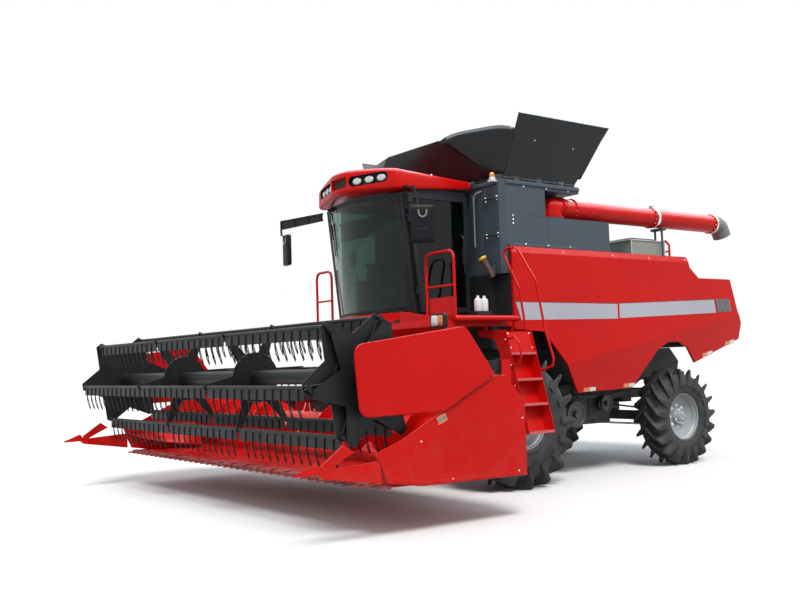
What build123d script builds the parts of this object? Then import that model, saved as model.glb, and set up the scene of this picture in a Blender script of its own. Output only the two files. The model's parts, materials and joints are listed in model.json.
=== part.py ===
from build123d import *
import os
from math import atan2, cos, degrees, hypot, pi, radians, sin

# Self-propelled combine harvester, in millimetres.
# +X is forward, +Y is the machine's left, +Z is up and z = 0 is the ground.
# x = 0 is halfway between the divider tips and the end of the unloading spout.

os.makedirs("parts", exist_ok=True)

# ---------------------------------------------------------------- driving dimensions
LENGTH = 8850
NOSE_REACH = 4050  # divider tips, ahead of the front axle
FRONT_X = LENGTH / 2 - NOSE_REACH
WHEELBASE = 3260
REAR_X = FRONT_X - WHEELBASE

PANEL_Y = 1470  # outer face of the side panels
PANEL_SKIN = 30
PANEL_TOP_Z = 2950
BODY_Y = 1150  # half width of the threshing and separating body
BODY_TOP_Z = 2620
DECK_Z = 2900
TANK_Y = 1400
TANK_TOP_Z = 3790
SHEET = 20  # thickness of folded sheet housings

HEADER_Y = 3060  # outer face of the header's end sheets
REEL_REACH = 3260  # reel axis ahead of the front axle
REEL_Z = 1450
REEL_R = 570  # bat pivot circle
BATS = 6
BAT_PHASE = 52

FEEDER_PIVOT = (500, 1500)  # ahead of the front axle, height
REEL_ARM_PIVOT = (1620, 1500)
UNLOADER_PIVOT = (-950, 1215)  # ahead of the front axle, to the left
UNLOADER_Z = 3520


def ahead(distance):
    """x of a place given ahead of the front axle."""
    return FRONT_X + distance


def outline(points):
    """Points given as (ahead of the front axle, height) in row coordinates."""
    return [(ahead(x), z) for x, z in points]


def side_plane(y):
    """Plane seen from the machine's right: local x is forward, local y is up."""
    return Plane.XZ.offset(-y)


def save(piece, name):
    """Label a finished piece and write its STEP file."""
    piece.part.label = name
    export_step(piece.part, f"parts/{name}.step")


def block(x, y, z, mode=Mode.ADD):
    """Box between three (low, high) pairs."""
    with Locations(((x[0] + x[1]) / 2, (y[0] + y[1]) / 2, (z[0] + z[1]) / 2)):
        Box(x[1] - x[0], y[1] - y[0], z[1] - z[0], mode=mode)


def bar(start, end, radius, mode=Mode.ADD):
    """Round bar between two points."""
    start = Vector(start)
    run = Vector(end) - start
    with Locations(Plane(origin=start + run * 0.5, z_dir=run)):
        Cylinder(radius, run.length, mode=mode)


def side_profile(points, y, mode=Mode.ADD):
    """Side outline in (ahead, height), extruded between the pair y."""
    with BuildSketch(side_plane(y[1])) as profile:
        Polygon(*outline(points), align=None)
    extrude(profile.sketch, amount=y[1] - y[0], mode=mode)


def front_profile(points, x, mode=Mode.ADD):
    """Cross outline in (left, height), extruded between the pair x."""
    with BuildSketch(Plane.YZ.offset(x[0])) as profile:
        Polygon(*points, align=None)
    extrude(profile.sketch, amount=x[1] - x[0], mode=mode)


def plan_profile(points, z, mode=Mode.ADD):
    """Plan outline in (ahead, left), extruded between the pair z."""
    with BuildSketch(Plane.XY.offset(z[0])) as profile:
        Polygon(*outline(points), align=None)
    extrude(profile.sketch, amount=z[1] - z[0], mode=mode)


def pipe(points, radius, mode=Mode.ADD):
    """Round pipe through points, mitred at each bend."""
    path = [Vector(*point) for point in points]
    with BuildLine() as line:
        Polyline(*path)
    with BuildSketch(Plane(origin=path[0], z_dir=path[1] - path[0])) as section:
        Circle(radius)
    sweep(section.sketch, path=line.wire(), transition=Transition.RIGHT, mode=mode)


def folded(points, thickness):
    """Closed outline of a sheet folded along an open line, thickness to its left."""
    path = [Vector(x, y) for x, y in points]
    runs = [(b - a).normalized() for a, b in zip(path, path[1:])]
    sides = [Vector(-run.Y, run.X) for run in runs]
    back = [path[0] + sides[0] * thickness]
    for point, one, two in zip(path[1:-1], sides, sides[1:]):
        middle = (one + two).normalized()
        back.append(point + middle * (thickness / middle.dot(one)))
    back.append(path[-1] + sides[-1] * thickness)
    return [(p.X, p.Y) for p in path + back[::-1]]


# ---------------------------------------------------------------- wheels
# x and y of the middle, outer radius, width, rim radius, lug height, lugs in a row, degrees that a lug
# sweeps and corners of the casing
WHEELS = {
    "front": dict(x=FRONT_X, y=1360, radius=800, width=580, rim=335, lug=72, lugs=16, sweep=21, corners=24),
    "rear": dict(x=REAR_X, y=1260, radius=675, width=400, rim=325, lug=56, lugs=19, sweep=19, corners=19),
}
HUB_BORE_R = 46
STUB_R = 45
LUG_FOOT, LUG_CREST = 30, 19  # half widths of a lug at its root and at its top
LUG_SINK = 70  # how far a lug's root is sunk in the casing


def wheel_section(w, side, offset, radius):
    """Regular polygon across the wheel at an offset outward from its middle."""
    plane = Plane(origin=(w["x"], side * (w["y"] + offset), w["radius"]), x_dir=(1, 0, 0), z_dir=(0, 1, 0))
    with BuildSketch(plane) as section:
        RegularPolygon(radius, w["corners"])
    return section.sketch.face()


def wheel_body(w, side, sections, mode=Mode.ADD):
    """Body through polygons given as (offset outward, radius), with flat facets between them."""
    loft([wheel_section(w, side, *place) for place in sections], ruled=True, mode=mode)


def turned(w, side, points, mode=Mode.ADD):
    """Body turned about the axle from an outline of (offset outward, radius) points."""
    hub = Vector(w["x"], side * w["y"], w["radius"])
    with BuildSketch(Plane(origin=hub, x_dir=(0, side, 0), z_dir=(1, 0, 0))) as profile:
        Polygon(*points, align=None)
    revolve(profile.sketch, axis=Axis(hub, (0, 1, 0)), mode=mode)


def make_lugs(w, side):
    """Straight bars with sloping flanks, from just past the middle of the tread to its shoulders."""
    swept = w["radius"] * sin(radians(w["sweep"] / 2))
    root = w["radius"] - w["lug"] - LUG_SINK
    crest = (w["radius"] ** 2 - (swept + LUG_CREST) ** 2) ** 0.5
    first = degrees(atan2(swept + LUG_CREST, crest)) - 90  # puts a lug's end on the ground
    pitch = 360 / w["lugs"]
    hub = Vector(w["x"], side * w["y"], w["radius"])
    lugs = []
    for row in (1, -1):
        for i in range(w["lugs"]):
            a = radians(first + pitch * (i + (0.5 if row < 0 else 0)))
            radial = Vector(cos(a), 0, sin(a))
            tangent = Vector(-sin(a), 0, cos(a))
            start = hub + Vector(0, -side * row * 12, 0) + tangent * swept
            run = hub + Vector(0, side * row * w["width"] / 2, 0) - tangent * swept - start
            with BuildSketch(Plane(origin=start, x_dir=radial, z_dir=run)) as section:
                Polygon((root, -LUG_FOOT), (crest, -LUG_CREST), (crest, LUG_CREST), (root, LUG_FOOT),
                        align=None)
            lugs.append(Solid.extrude(section.sketch.face(), run))
    return lugs


def make_tyre(name, w, side):
    half = w["width"] / 2
    tread = w["radius"] - w["lug"]
    waist = (w["rim"] + tread) / 2 - 40
    with BuildPart() as tyre:
        wheel_body(w, side, [
            (-half * 0.8, w["rim"]), (-half * 0.97, waist), (-half * 0.95, tread - 70), (-half * 0.8, tread),
            (half * 0.8, tread), (half * 0.95, tread - 70), (half * 0.97, waist), (half * 0.8, w["rim"]),
        ])
        wheel_body(w, side, [(-half, w["rim"]), (half, w["rim"])], mode=Mode.SUBTRACT)
        add(make_lugs(w, side))
    save(tyre, name)


def make_rim(name, w, side):
    """Welded rim: a drum with a lip at each edge, a dished disc and a hub with the axle's bore."""
    edge = w["width"] / 2 * 0.8
    drum = w["rim"]
    with BuildPart() as rim:
        wheel_body(w, side, [(-edge, drum), (edge, drum)])
        turned(w, side, [(30, 0), (30, 190), (60, drum - 45), (edge - 60, drum - 40), (edge - 30, drum - 24),
                         (edge, drum - 14), (edge, 0)], mode=Mode.SUBTRACT)
        turned(w, side, [(-edge, 0), (-edge, drum - 14), (-edge + 60, drum - 40), (20, drum - 45), (-10, 190),
                         (-10, 0)], mode=Mode.SUBTRACT)
        turned(w, side, [(-70, 0), (-70, 110), (70, 110), (70, 0)])
        turned(w, side, [(-70, 0), (-70, HUB_BORE_R), (70, HUB_BORE_R), (70, 0)], mode=Mode.SUBTRACT)
    save(rim, name)


for position, w in WHEELS.items():
    for hand, side in (("left", 1), ("right", -1)):
        make_tyre(f"{position}_tyre_{hand}", w, side)
        make_rim(f"{position}_rim_{hand}", w, side)

# ---------------------------------------------------------------- chassis
RAIL_Y = (400, 500)
RAIL_Z = (930, 1050)
CROSS_X = (380, -1500, -2300, -3950)

with BuildPart() as chassis_rails:
    for side in (1, -1):
        low, high = sorted((side * RAIL_Y[0], side * RAIL_Y[1]))
        block((ahead(-4000), ahead(450)), (low, high), RAIL_Z)
    for x in CROSS_X:
        block((ahead(x - 40), ahead(x + 40)), (-RAIL_Y[0], RAIL_Y[0]), RAIL_Z)
    block((ahead(-4120), ahead(-4000)), (-80, 80), (RAIL_Z[0] + 20, RAIL_Z[1] - 20))
    block((ahead(-4000), ahead(-3990)), (-500, 500), RAIL_Z)
    for z in (RAIL_Z[0] + 20, RAIL_Z[1] - 44):
        block((ahead(-4220), ahead(-4120)), (-60, 60), (z, z + 24))
    bar((ahead(-4170), 0, 900), (ahead(-4170), 0, 1100), 16, mode=Mode.SUBTRACT)
save(chassis_rails, "chassis_rails")

AXLE_Z = WHEELS["front"]["radius"]
CYLINDER_FOOT = (160, 540)  # lift cylinder's lower pin, ahead of the axle and height
CYLINDER_Y = 300
with BuildPart() as front_axle:
    block((ahead(-110), ahead(110)), (-760, 760), (AXLE_Z - 90, RAIL_Z[0]))
    for side in (1, -1):
        bar((FRONT_X, side * 760, AXLE_Z), (FRONT_X, side * 1040, AXLE_Z), 165)
        bar((FRONT_X, side * 1040, AXLE_Z), (FRONT_X, side * 1270, AXLE_Z), 100)
        bar((FRONT_X, side * 1270, AXLE_Z), (FRONT_X, side * 1430, AXLE_Z), STUB_R)
        for ear in (-58, 58):
            y = side * CYLINDER_Y + ear
            side_profile([(60, 710), (60, 560), (120, 500), (200, 500), (200, 580), (110, 710)],
                         (y - 8, y + 8))
        foot = ahead(CYLINDER_FOOT[0])
        bar((foot, side * CYLINDER_Y - 72, CYLINDER_FOOT[1]),
            (foot, side * CYLINDER_Y + 72, CYLINDER_FOOT[1]), 20)
    with Locations((ahead(-210), 120, AXLE_Z + 20)):
        Box(200, 360, 200)
save(front_axle, "front_axle")

STEER_Y = 930
REAR_Z = WHEELS["rear"]["radius"]
BOSS_Z = (REAR_Z - 90, REAR_Z + 90)
EAR = 25
PLAY = 6
KINGPIN_R = 24
with BuildPart() as rear_axle:
    block((REAR_X - 70, REAR_X + 70), (-STEER_Y + 40, STEER_Y - 40), (REAR_Z - 65, REAR_Z + 65))
    for side in (1, -1):
        bar((REAR_X, side * STEER_Y, BOSS_Z[0]), (REAR_X, side * STEER_Y, BOSS_Z[1]), 60)
        bar((REAR_X, side * STEER_Y, 0), (REAR_X, side * STEER_Y, 1500), KINGPIN_R + 1, mode=Mode.SUBTRACT)
    block((REAR_X - 100, REAR_X + 100), (-160, 160), (REAR_Z + 65, RAIL_Z[0]))
    for side in (1, -1):
        low, high = sorted((side * 160, side * RAIL_Y[0]))
        block((REAR_X - 100, REAR_X + 100), (low, high), (RAIL_Z[0] - 60, RAIL_Z[0]))
save(rear_axle, "rear_axle")

TIE_X = REAR_X - 200  # tie rod behind the kingpins
TIE_Y = STEER_Y  # arms straight back, so that both wheels turn alike
TIE_Z = BOSS_Z[0] - PLAY - EAR
for hand, side in (("left", 1), ("right", -1)):
    with BuildPart() as knuckle:
        for z in ((BOSS_Z[0] - PLAY - EAR, BOSS_Z[0] - PLAY), (BOSS_Z[1] + PLAY, BOSS_Z[1] + PLAY + EAR)):
            bar((REAR_X, side * STEER_Y, z[0]), (REAR_X, side * STEER_Y, z[1]), 55)
            low, high = sorted((side * STEER_Y, side * (STEER_Y + 100)))
            block((REAR_X - 55, REAR_X + 55), (low, high), z)
        low, high = sorted((side * (STEER_Y + 68), side * (STEER_Y + 100)))
        block((REAR_X - 55, REAR_X + 55), (low, high), (TIE_Z, BOSS_Z[1] + PLAY + EAR))
        bar((REAR_X, side * STEER_Y, TIE_Z), (REAR_X, side * STEER_Y, BOSS_Z[1] + PLAY + EAR), KINGPIN_R)
        bar((REAR_X, side * (STEER_Y + 100), REAR_Z), (REAR_X, side * 1180, REAR_Z), 75)
        bar((REAR_X, side * 1180, REAR_Z), (REAR_X, side * 1320, REAR_Z), STUB_R)
        with BuildSketch(Plane.XY.offset(TIE_Z)):
            Polygon(
                (REAR_X, side * (STEER_Y + 45)), (TIE_X - 10, side * (TIE_Y + 30)),
                (TIE_X - 30, side * TIE_Y), (TIE_X - 10, side * (TIE_Y - 30)),
                (REAR_X, side * (STEER_Y - 45)), align=None,
            )
        extrude(amount=EAR)
        bar((TIE_X, side * TIE_Y, TIE_Z - 45), (TIE_X, side * TIE_Y, TIE_Z), 12)
    save(knuckle, f"rear_knuckle_{hand}")

with BuildPart() as tie_rod:
    bar((TIE_X, -TIE_Y + 20, TIE_Z - 25), (TIE_X, TIE_Y - 20, TIE_Z - 25), 16)
    for side in (1, -1):
        bar((TIE_X, side * TIE_Y, TIE_Z - 43), (TIE_X, side * TIE_Y, TIE_Z - 7), 28)
        bar((TIE_X, side * TIE_Y, TIE_Z - 60), (TIE_X, side * TIE_Y, TIE_Z), 13, mode=Mode.SUBTRACT)
save(tie_rod, "tie_rod")

# ---------------------------------------------------------------- threshing body and hood
with BuildPart() as separator_body:
    side_profile([(100, 1700), (100, BODY_TOP_Z), (-3450, BODY_TOP_Z), (-3700, 2450), (-3700, 1660),
                  (-60, 1660)], (-BODY_Y, BODY_Y))
    side_profile([(20, RAIL_Z[1]), (20, 1660), (-3500, 1660), (-3500, 1250), (-3100, RAIL_Z[1])], (-580, 580))
    side_profile([(-3500, 1250), (-3500, 1660), (-4150, 1660), (-4350, 1450), (-4300, 1250), (-3700, 1180)],
                 (-540, 540))
    for side in (1, -1):
        low, high = sorted((side * BODY_Y, side * (PANEL_Y - PANEL_SKIN)))
        block((ahead(-20), ahead(0)), (low, high), (1960, BODY_TOP_Z))
save(separator_body, "separator_body")

PANEL_OUTLINE = [
    (10, PANEL_TOP_Z), (-3450, PANEL_TOP_Z), (-3490, 2800), (-3690, 2650), (-4450, 2650), (-4610, 2160),
    (-4710, 2000), (-4690, 1760), (-3630, 1430), (-3420, 1640), (-3220, 1730), (-2960, 1730), (-2740, 1640),
    (-2240, 1120), (-1140, 1100), (-880, 1480), (-580, 1800), (-500, 1890), (10, 1930),
]
CREASE = ((-910, 1480), (-4730, 2120))
CREASE_LEAN = 11
BEVEL_Z = 2870


def crease_plane(side):
    """Plane of the panel's lower part, leaning in below the crease."""
    start = Vector(ahead(CREASE[0][0]), side * PANEL_Y, CREASE[0][1])
    along = (Vector(ahead(CREASE[1][0]), side * PANEL_Y, CREASE[1][1]) - start).normalized()
    normal = Vector(0, side, 0).rotate(Axis((0, 0, 0), along), side * CREASE_LEAN)
    return Plane(origin=start, x_dir=along, z_dir=normal)


def bevel_plane(side):
    """Plane of the narrow strip along the panel's top edge, leaning in."""
    return Plane(origin=(0, side * PANEL_Y, BEVEL_Z), x_dir=(1, 0, 0), z_dir=(0, side * 80, 25))


HOOD_LINE = [(-3450, DECK_Z), (-3690, 2640), (-4440, 2640), (-4600, 2160), (-4700, 2000), (-4680, 1760)]
with BuildPart() as rear_hood:
    with BuildSketch(side_plane(PANEL_Y - PANEL_SKIN - 5)):
        Polygon(*folded(outline(HOOD_LINE), SHEET), align=None)
    extrude(amount=2 * (PANEL_Y - PANEL_SKIN - 5))
    for side in (1, -1):
        for skin in (crease_plane(side), bevel_plane(side)):
            split(bisect_by=skin.offset(-PANEL_SKIN - 5), keep=Keep.BOTTOM)
save(rear_hood, "rear_hood")

for hand, side in (("left", 1), ("right", -1)):
    with BuildPart() as panel:
        side_profile(PANEL_OUTLINE, tuple(sorted((side * (PANEL_Y - 330), side * PANEL_Y))))
        split(bisect_by=crease_plane(side), keep=Keep.BOTTOM)
        split(bisect_by=bevel_plane(side), keep=Keep.BOTTOM)
        inner = panel.part.moved(Location((0, -side * PANEL_SKIN, 0)))
        add(inner, mode=Mode.SUBTRACT)
    save(panel, f"side_panel_{hand}")


# ---------------------------------------------------------------- tank, engine and deck
TANK_X = (-1300, 80)
NOTCH = (-670, 1000)  # the left rear corner is cut away for the elbow
STEP_Z = 3360
ENGINE_BOX_X = (-1870, -1300)

# Tank flaps fold in over the tank. Each leans out of its hinge line.
FLAP_T = 12
FLAP_HINGE_Y = TANK_Y - 20
FLAP_HINGE_Z = TANK_TOP_Z + 20
FLAP_TIP = (1690, 4560)  # top edge of the side flaps
FRONT_HINGE_X, REAR_HINGE_X = TANK_X[1] - 10, TANK_X[0] + 10
END_FLAP_TIPS = {"front": (360, 4400), "rear": (-1560, 4390)}
END_HINGE_Y = 1280  # half width of the end flaps' hinge tubes
SIDE_HINGE_X = (TANK_X[0] + 60, 30)  # ends of the side flaps' hinge tubes
PIN_R, HINGE_TUBE_R = 6, 14
EAVES_Z = 3700  # underside of the tank's top frame over the elbow
CORNER_CUT = 60  # the tank's front corners are cut off


def tank_plan(inset, z, notched, mode=Mode.ADD):
    """Tank outline in plan with its front corners cut, and the left rear one too where it is notched."""
    left = TANK_Y - inset
    front, rear = TANK_X[1] - inset, TANK_X[0] + inset
    cut = CORNER_CUT
    if notched:
        back = [(NOTCH[0] + inset, left), (NOTCH[0] + inset, NOTCH[1] - inset), (rear, NOTCH[1] - inset)]
    else:
        back = [(rear, left)]
    plan_profile([(front, left - cut), (front - cut, left)] + back
                 + [(rear, -left), (front - cut, -left), (front, -left + cut)], z, mode=mode)


with BuildPart() as grain_tank:
    tank_plan(0, (BODY_TOP_Z, STEP_Z), False)
    tank_plan(0, (STEP_Z, EAVES_Z), True)
    tank_plan(0, (EAVES_Z, TANK_TOP_Z), False)
    tank_plan(SHEET, (3300, TANK_TOP_Z), True, mode=Mode.SUBTRACT)
    tank_plan(SHEET, (EAVES_Z + SHEET, TANK_TOP_Z), False, mode=Mode.SUBTRACT)
    front_profile([(-TANK_Y + CORNER_CUT + SHEET, 3300), (NOTCH[1] - SHEET, 3300), (260, 2720), (-260, 2720)],
                  (ahead(TANK_X[0] + SHEET), ahead(TANK_X[1] - SHEET)), mode=Mode.SUBTRACT)
    for x in (-250, -900):
        bar((ahead(x), -1150, 3050), (ahead(x), -1378, 3400), 70)
    bar((ahead(-600), 0, 2800), (ahead(-600), 0, 2720), 120)
    for side in (1, -1):
        y = side * FLAP_HINGE_Y
        for x in (-1000, -600, -200):
            block((ahead(x - 45), ahead(x + 45)), (y - 8, y + 8), (TANK_TOP_Z, FLAP_HINGE_Z + 8))
        bar((ahead(SIDE_HINGE_X[0]), y, FLAP_HINGE_Z), (ahead(SIDE_HINGE_X[1]), y, FLAP_HINGE_Z), PIN_R)
    for x in (FRONT_HINGE_X, REAR_HINGE_X):
        for y in (-900, 0, 850):
            block((ahead(x - 8), ahead(x + 8)), (y - 45, y + 45), (TANK_TOP_Z, FLAP_HINGE_Z + 8))
        bar((ahead(x), -END_HINGE_Y, FLAP_HINGE_Z), (ahead(x), END_HINGE_Y, FLAP_HINGE_Z), PIN_R)
save(grain_tank, "grain_tank")


with BuildPart() as engine_deck:
    block((ahead(ENGINE_BOX_X[0]), ahead(ENGINE_BOX_X[1])), (-TANK_Y, TANK_Y), (BODY_TOP_Z, STEP_Z))
    block((ahead(ENGINE_BOX_X[0] + SHEET), ahead(ENGINE_BOX_X[1] - SHEET)), (-TANK_Y + SHEET, TANK_Y - SHEET),
          (BODY_TOP_Z, STEP_Z - SHEET), mode=Mode.SUBTRACT)
    side_profile(folded([(ENGINE_BOX_X[0], BODY_TOP_Z), (ENGINE_BOX_X[0], DECK_Z), (-3432, DECK_Z)], SHEET),
                 (-TANK_Y, TANK_Y))
    for y in (-1000, 0, 1000):
        block((ahead(-3400), ahead(-1920)), (y - 15, y + 15), (BODY_TOP_Z, DECK_Z - SHEET))
save(engine_deck, "engine_deck")

with BuildPart() as engine_block:
    block((ahead(-1830), ahead(-1340)), (-560, 560), (BODY_TOP_Z, 3280))
save(engine_block, "engine_block")


def hinge_knuckles(start, end, cuts):
    """Flap's hinge tube from start to end, cut away at the tank's lugs."""
    bar(start, end, HINGE_TUBE_R)
    bar(start, end, PIN_R + 1, mode=Mode.SUBTRACT)
    for centre in cuts:
        with Locations(centre):
            Box(*[110 if abs(a - b) > 1 else 60 for a, b in zip(start, end)], mode=Mode.SUBTRACT)


for hand, side in (("left", 1), ("right", -1)):
    base = Vector(0, side * FLAP_HINGE_Y, FLAP_HINGE_Z)
    rise = Vector(0, side * (FLAP_TIP[0] - FLAP_HINGE_Y), FLAP_TIP[1] - FLAP_HINGE_Z)
    with BuildPart() as flap:
        with BuildSketch(Plane(origin=base, x_dir=(1, 0, 0), z_dir=Vector(1, 0, 0).cross(rise))):
            Polygon((ahead(SIDE_HINGE_X[1]), 10), (ahead(10), rise.length), (ahead(-1620), rise.length),
                    (ahead(SIDE_HINGE_X[0]), 10), align=None)
        extrude(amount=FLAP_T / 2, both=True)
        hinge_knuckles((ahead(SIDE_HINGE_X[0]), base.Y, base.Z), (ahead(SIDE_HINGE_X[1]), base.Y, base.Z),
                       [(ahead(x), base.Y, base.Z) for x in (-1000, -600, -200)])
    save(flap, f"tank_flap_{hand}")

for name, hinge_x in (("front", FRONT_HINGE_X), ("rear", REAR_HINGE_X)):
    tip = END_FLAP_TIPS[name]
    base = Vector(ahead(hinge_x), 0, FLAP_HINGE_Z)
    rise = Vector(tip[0] - hinge_x, 0, tip[1] - FLAP_HINGE_Z)
    with BuildPart() as flap:
        with BuildSketch(Plane(origin=base, x_dir=(0, 1, 0), z_dir=Vector(0, 1, 0).cross(rise))):
            Polygon((-END_HINGE_Y, 10), (-560, rise.length), (560, rise.length), (END_HINGE_Y, 10),
                    align=None)
        extrude(amount=FLAP_T / 2, both=True)
        hinge_knuckles((base.X, -END_HINGE_Y, base.Z), (base.X, END_HINGE_Y, base.Z),
                       [(base.X, y, base.Z) for y in (-900, 0, 850)])
    save(flap, f"tank_flap_{name}")

# ---------------------------------------------------------------- unloading auger
TUBE_R = 135
FLANGE_R = TUBE_R + 15
TUBE_END = -4380
# spout's bends behind the axle and their heights; its mouth reaches the machine's rear end
SPOUT = [(TUBE_END, UNLOADER_Z), (-4490, UNLOADER_Z), (-4608, 3480), (-4683, 3350)]
ux, uy = ahead(UNLOADER_PIVOT[0]), UNLOADER_PIVOT[1]

with BuildPart() as unloader_tube:
    bar((ux, uy, STEP_Z + 20), (ux, uy, STEP_Z + 40), 170)
    bar((ux, uy, STEP_Z + 40), (ux, uy, UNLOADER_Z), TUBE_R)
    with Locations((ux, uy, UNLOADER_Z)):
        Sphere(TUBE_R)
    bar((ux, uy, UNLOADER_Z), (ahead(TUBE_END), uy, UNLOADER_Z), TUBE_R)
    for x in (-1320, -2950, TUBE_END + 20):
        bar((ahead(x), uy, UNLOADER_Z), (ahead(x - 20), uy, UNLOADER_Z), FLANGE_R)
save(unloader_tube, "unloader_tube")

with BuildPart() as unloader_spout:
    bends = [(ahead(x), uy, z) for x, z in SPOUT]
    pipe(bends, TUBE_R)
    mouth_way = Vector(*bends[-1]) + (Vector(*bends[-1]) - Vector(*bends[-2])).normalized() * 20
    pipe(bends[1:-1] + [tuple(mouth_way)], TUBE_R - 8, mode=Mode.SUBTRACT)
save(unloader_spout, "unloader_spout")

REST_Z = UNLOADER_Z - TUBE_R - 10
with BuildPart() as deck_fittings:
    block((ahead(-3300), ahead(-2580)), (560, 1180), (DECK_Z, 3190))
    block((ahead(-3200), ahead(-2680)), (640, 1100), (3190, 3235))
    bar((ahead(-2150), -700, DECK_Z), (ahead(-2150), -700, 3250), 90)
    bar((ahead(-2150), -700, 3250), (ahead(-2150), -700, 3560), 45)
    bar((ahead(-2150), -700, 3300), (ahead(-2150), -700, 3560), 40, mode=Mode.SUBTRACT)
    bar((ux, uy, STEP_Z), (ux, uy, STEP_Z + 15), 175)
    for side in (-1, 1):
        bar((ahead(-3150), uy + side * 60, DECK_Z), (ahead(-3150), uy + side * 60, REST_Z - 35), 16)
    block((ahead(-3190), ahead(-3110)), (uy - 110, uy + 110), (REST_Z - 35, REST_Z))
save(deck_fittings, "deck_fittings")

# ---------------------------------------------------------------- cab
CAB_REAR, CAB_CORNER, CAB_NOSE = 200, 1030, 1250
CAB_Y = 850
FLOOR_Z = 2100
SILL_Z = 2180
GLASS_TOP_Z = 3620
LEAN = (160, 0, GLASS_TOP_Z - SILL_Z)  # the windshield and its pillars lean forward
ROOF_Z = (3630, 3810, 3970)
PILLAR = 60
DOOR_Y = (CAB_Y + 8, CAB_Y + 48)
DOOR_Z = (2160, 3612)
DOOR_SLOPE = LEAN[0] / LEAN[2]
HINGE_Y = CAB_Y + 36
HINGE_GAP = 20  # from the door's front edge to its hinge axis
HINGE_Z = (2420, 3300)
HINGE_DIR = Vector(*LEAN).normalized()


def door_front(z):
    """Front edge of the door at a height: it leans with the windshield's pillar."""
    return CAB_CORNER - 40 + (z - FLOOR_Z) * DOOR_SLOPE


def hinge_point(z):
    return Vector(ahead(door_front(z) + HINGE_GAP), HINGE_Y, z)


def door_outline(inset):
    low, high = DOOR_Z[0] + inset, DOOR_Z[1] - inset
    rear = CAB_REAR + 10 + inset
    return [(door_front(low) - inset, low), (rear, low), (rear, high), (door_front(high) - inset, high)]


with BuildPart() as cab_frame:
    with BuildSketch(Plane.XY.offset(2040)):
        with BuildLine():
            Line((ahead(CAB_REAR), CAB_Y), (ahead(CAB_CORNER), CAB_Y))
            ThreePointArc((ahead(CAB_CORNER), CAB_Y), (ahead(CAB_NOSE), 0), (ahead(CAB_CORNER), -CAB_Y))
            Polyline((ahead(CAB_CORNER), -CAB_Y), (ahead(CAB_REAR), -CAB_Y), (ahead(CAB_REAR), CAB_Y))
        make_face()
    extrude(amount=FLOOR_Z - 2040)
    for side in (1, -1):
        corner = [(CAB_CORNER - 45, side * (CAB_Y - PILLAR)), (CAB_CORNER - 45, side * CAB_Y),
                  (CAB_CORNER, side * CAB_Y), (CAB_CORNER + 12, side * (CAB_Y - PILLAR))]
        with BuildSketch(Plane.XY.offset(FLOOR_Z)):
            Polygon(*outline(corner), align=None)
        extrude(amount=hypot(LEAN[0], LEAN[2]) * (GLASS_TOP_Z - FLOOR_Z) / LEAN[2], dir=LEAN)
        low, high = sorted((side * (CAB_Y - PILLAR), side * CAB_Y))
        block((ahead(CAB_REAR), ahead(CAB_REAR + 80)), (low, high), (FLOOR_Z, GLASS_TOP_Z))
        block((ahead(CAB_REAR), ahead(CAB_CORNER + 110)), (low, high), (GLASS_TOP_Z, ROOF_Z[0]))
        low, high = sorted((side * CAB_Y, side * (CAB_Y + 16)))
        block((ahead(CAB_REAR), ahead(CAB_CORNER + 40)), (low, high), (ROOF_Z[0] - 8, ROOF_Z[0] + 58))
    block((ahead(CAB_REAR), ahead(CAB_REAR + 30)), (-CAB_Y + PILLAR, CAB_Y - PILLAR), (FLOOR_Z, 2700))
    block((ahead(CAB_REAR), ahead(CAB_REAR + 30)), (-CAB_Y + PILLAR, CAB_Y - PILLAR), (3560, ROOF_Z[0]))
    block((ahead(CAB_REAR + 80), ahead(CAB_CORNER - 50)), (-CAB_Y, -CAB_Y + 30), (FLOOR_Z, SILL_Z))
    block((ahead(CAB_REAR + 80), ahead(CAB_CORNER - 50)), (CAB_Y - 30, CAB_Y), (FLOOR_Z, SILL_Z - 20))
    for z in HINGE_Z:
        knuckle = hinge_point(z)
        for end in (-44, 36):
            ear = knuckle + HINGE_DIR * (end + 4)
            with Locations(Plane(origin=(ear.X, CAB_Y + 20, ear.Z), x_dir=(0, 1, 0), z_dir=HINGE_DIR)):
                Box(56, 26, 8)
        bar(knuckle - HINGE_DIR * 48, knuckle + HINGE_DIR * 48, 6)
save(cab_frame, "cab_frame")


def nose_arc(inset, shift):
    """The windshield's curve in plan, moved back by inset and ahead by shift."""
    y = CAB_Y - PILLAR - 4
    return ThreePointArc((ahead(CAB_CORNER + 12 - inset + shift), y), (ahead(CAB_NOSE - inset + shift), 0),
                         (ahead(CAB_CORNER + 12 - inset + shift), -y))


with BuildPart() as cab_glass:
    with BuildSketch(Plane.XY.offset(SILL_Z)):
        with BuildLine():
            front = nose_arc(0, 8.9)
            back = nose_arc(8, 8.9)
            Line(front @ 0, back @ 0)
            Line(front @ 1, back @ 1)
        make_face()
    extrude(amount=hypot(LEAN[0], LEAN[2]), dir=LEAN)
    block((ahead(CAB_REAR + 82), ahead(CAB_CORNER - 50)), (-CAB_Y + 10, -CAB_Y + 18), (SILL_Z, GLASS_TOP_Z))
    block((ahead(CAB_REAR + 10), ahead(CAB_REAR + 18)), (-CAB_Y + PILLAR, CAB_Y - PILLAR), (2700, 3560))
save(cab_glass, "cab_glass")

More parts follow.
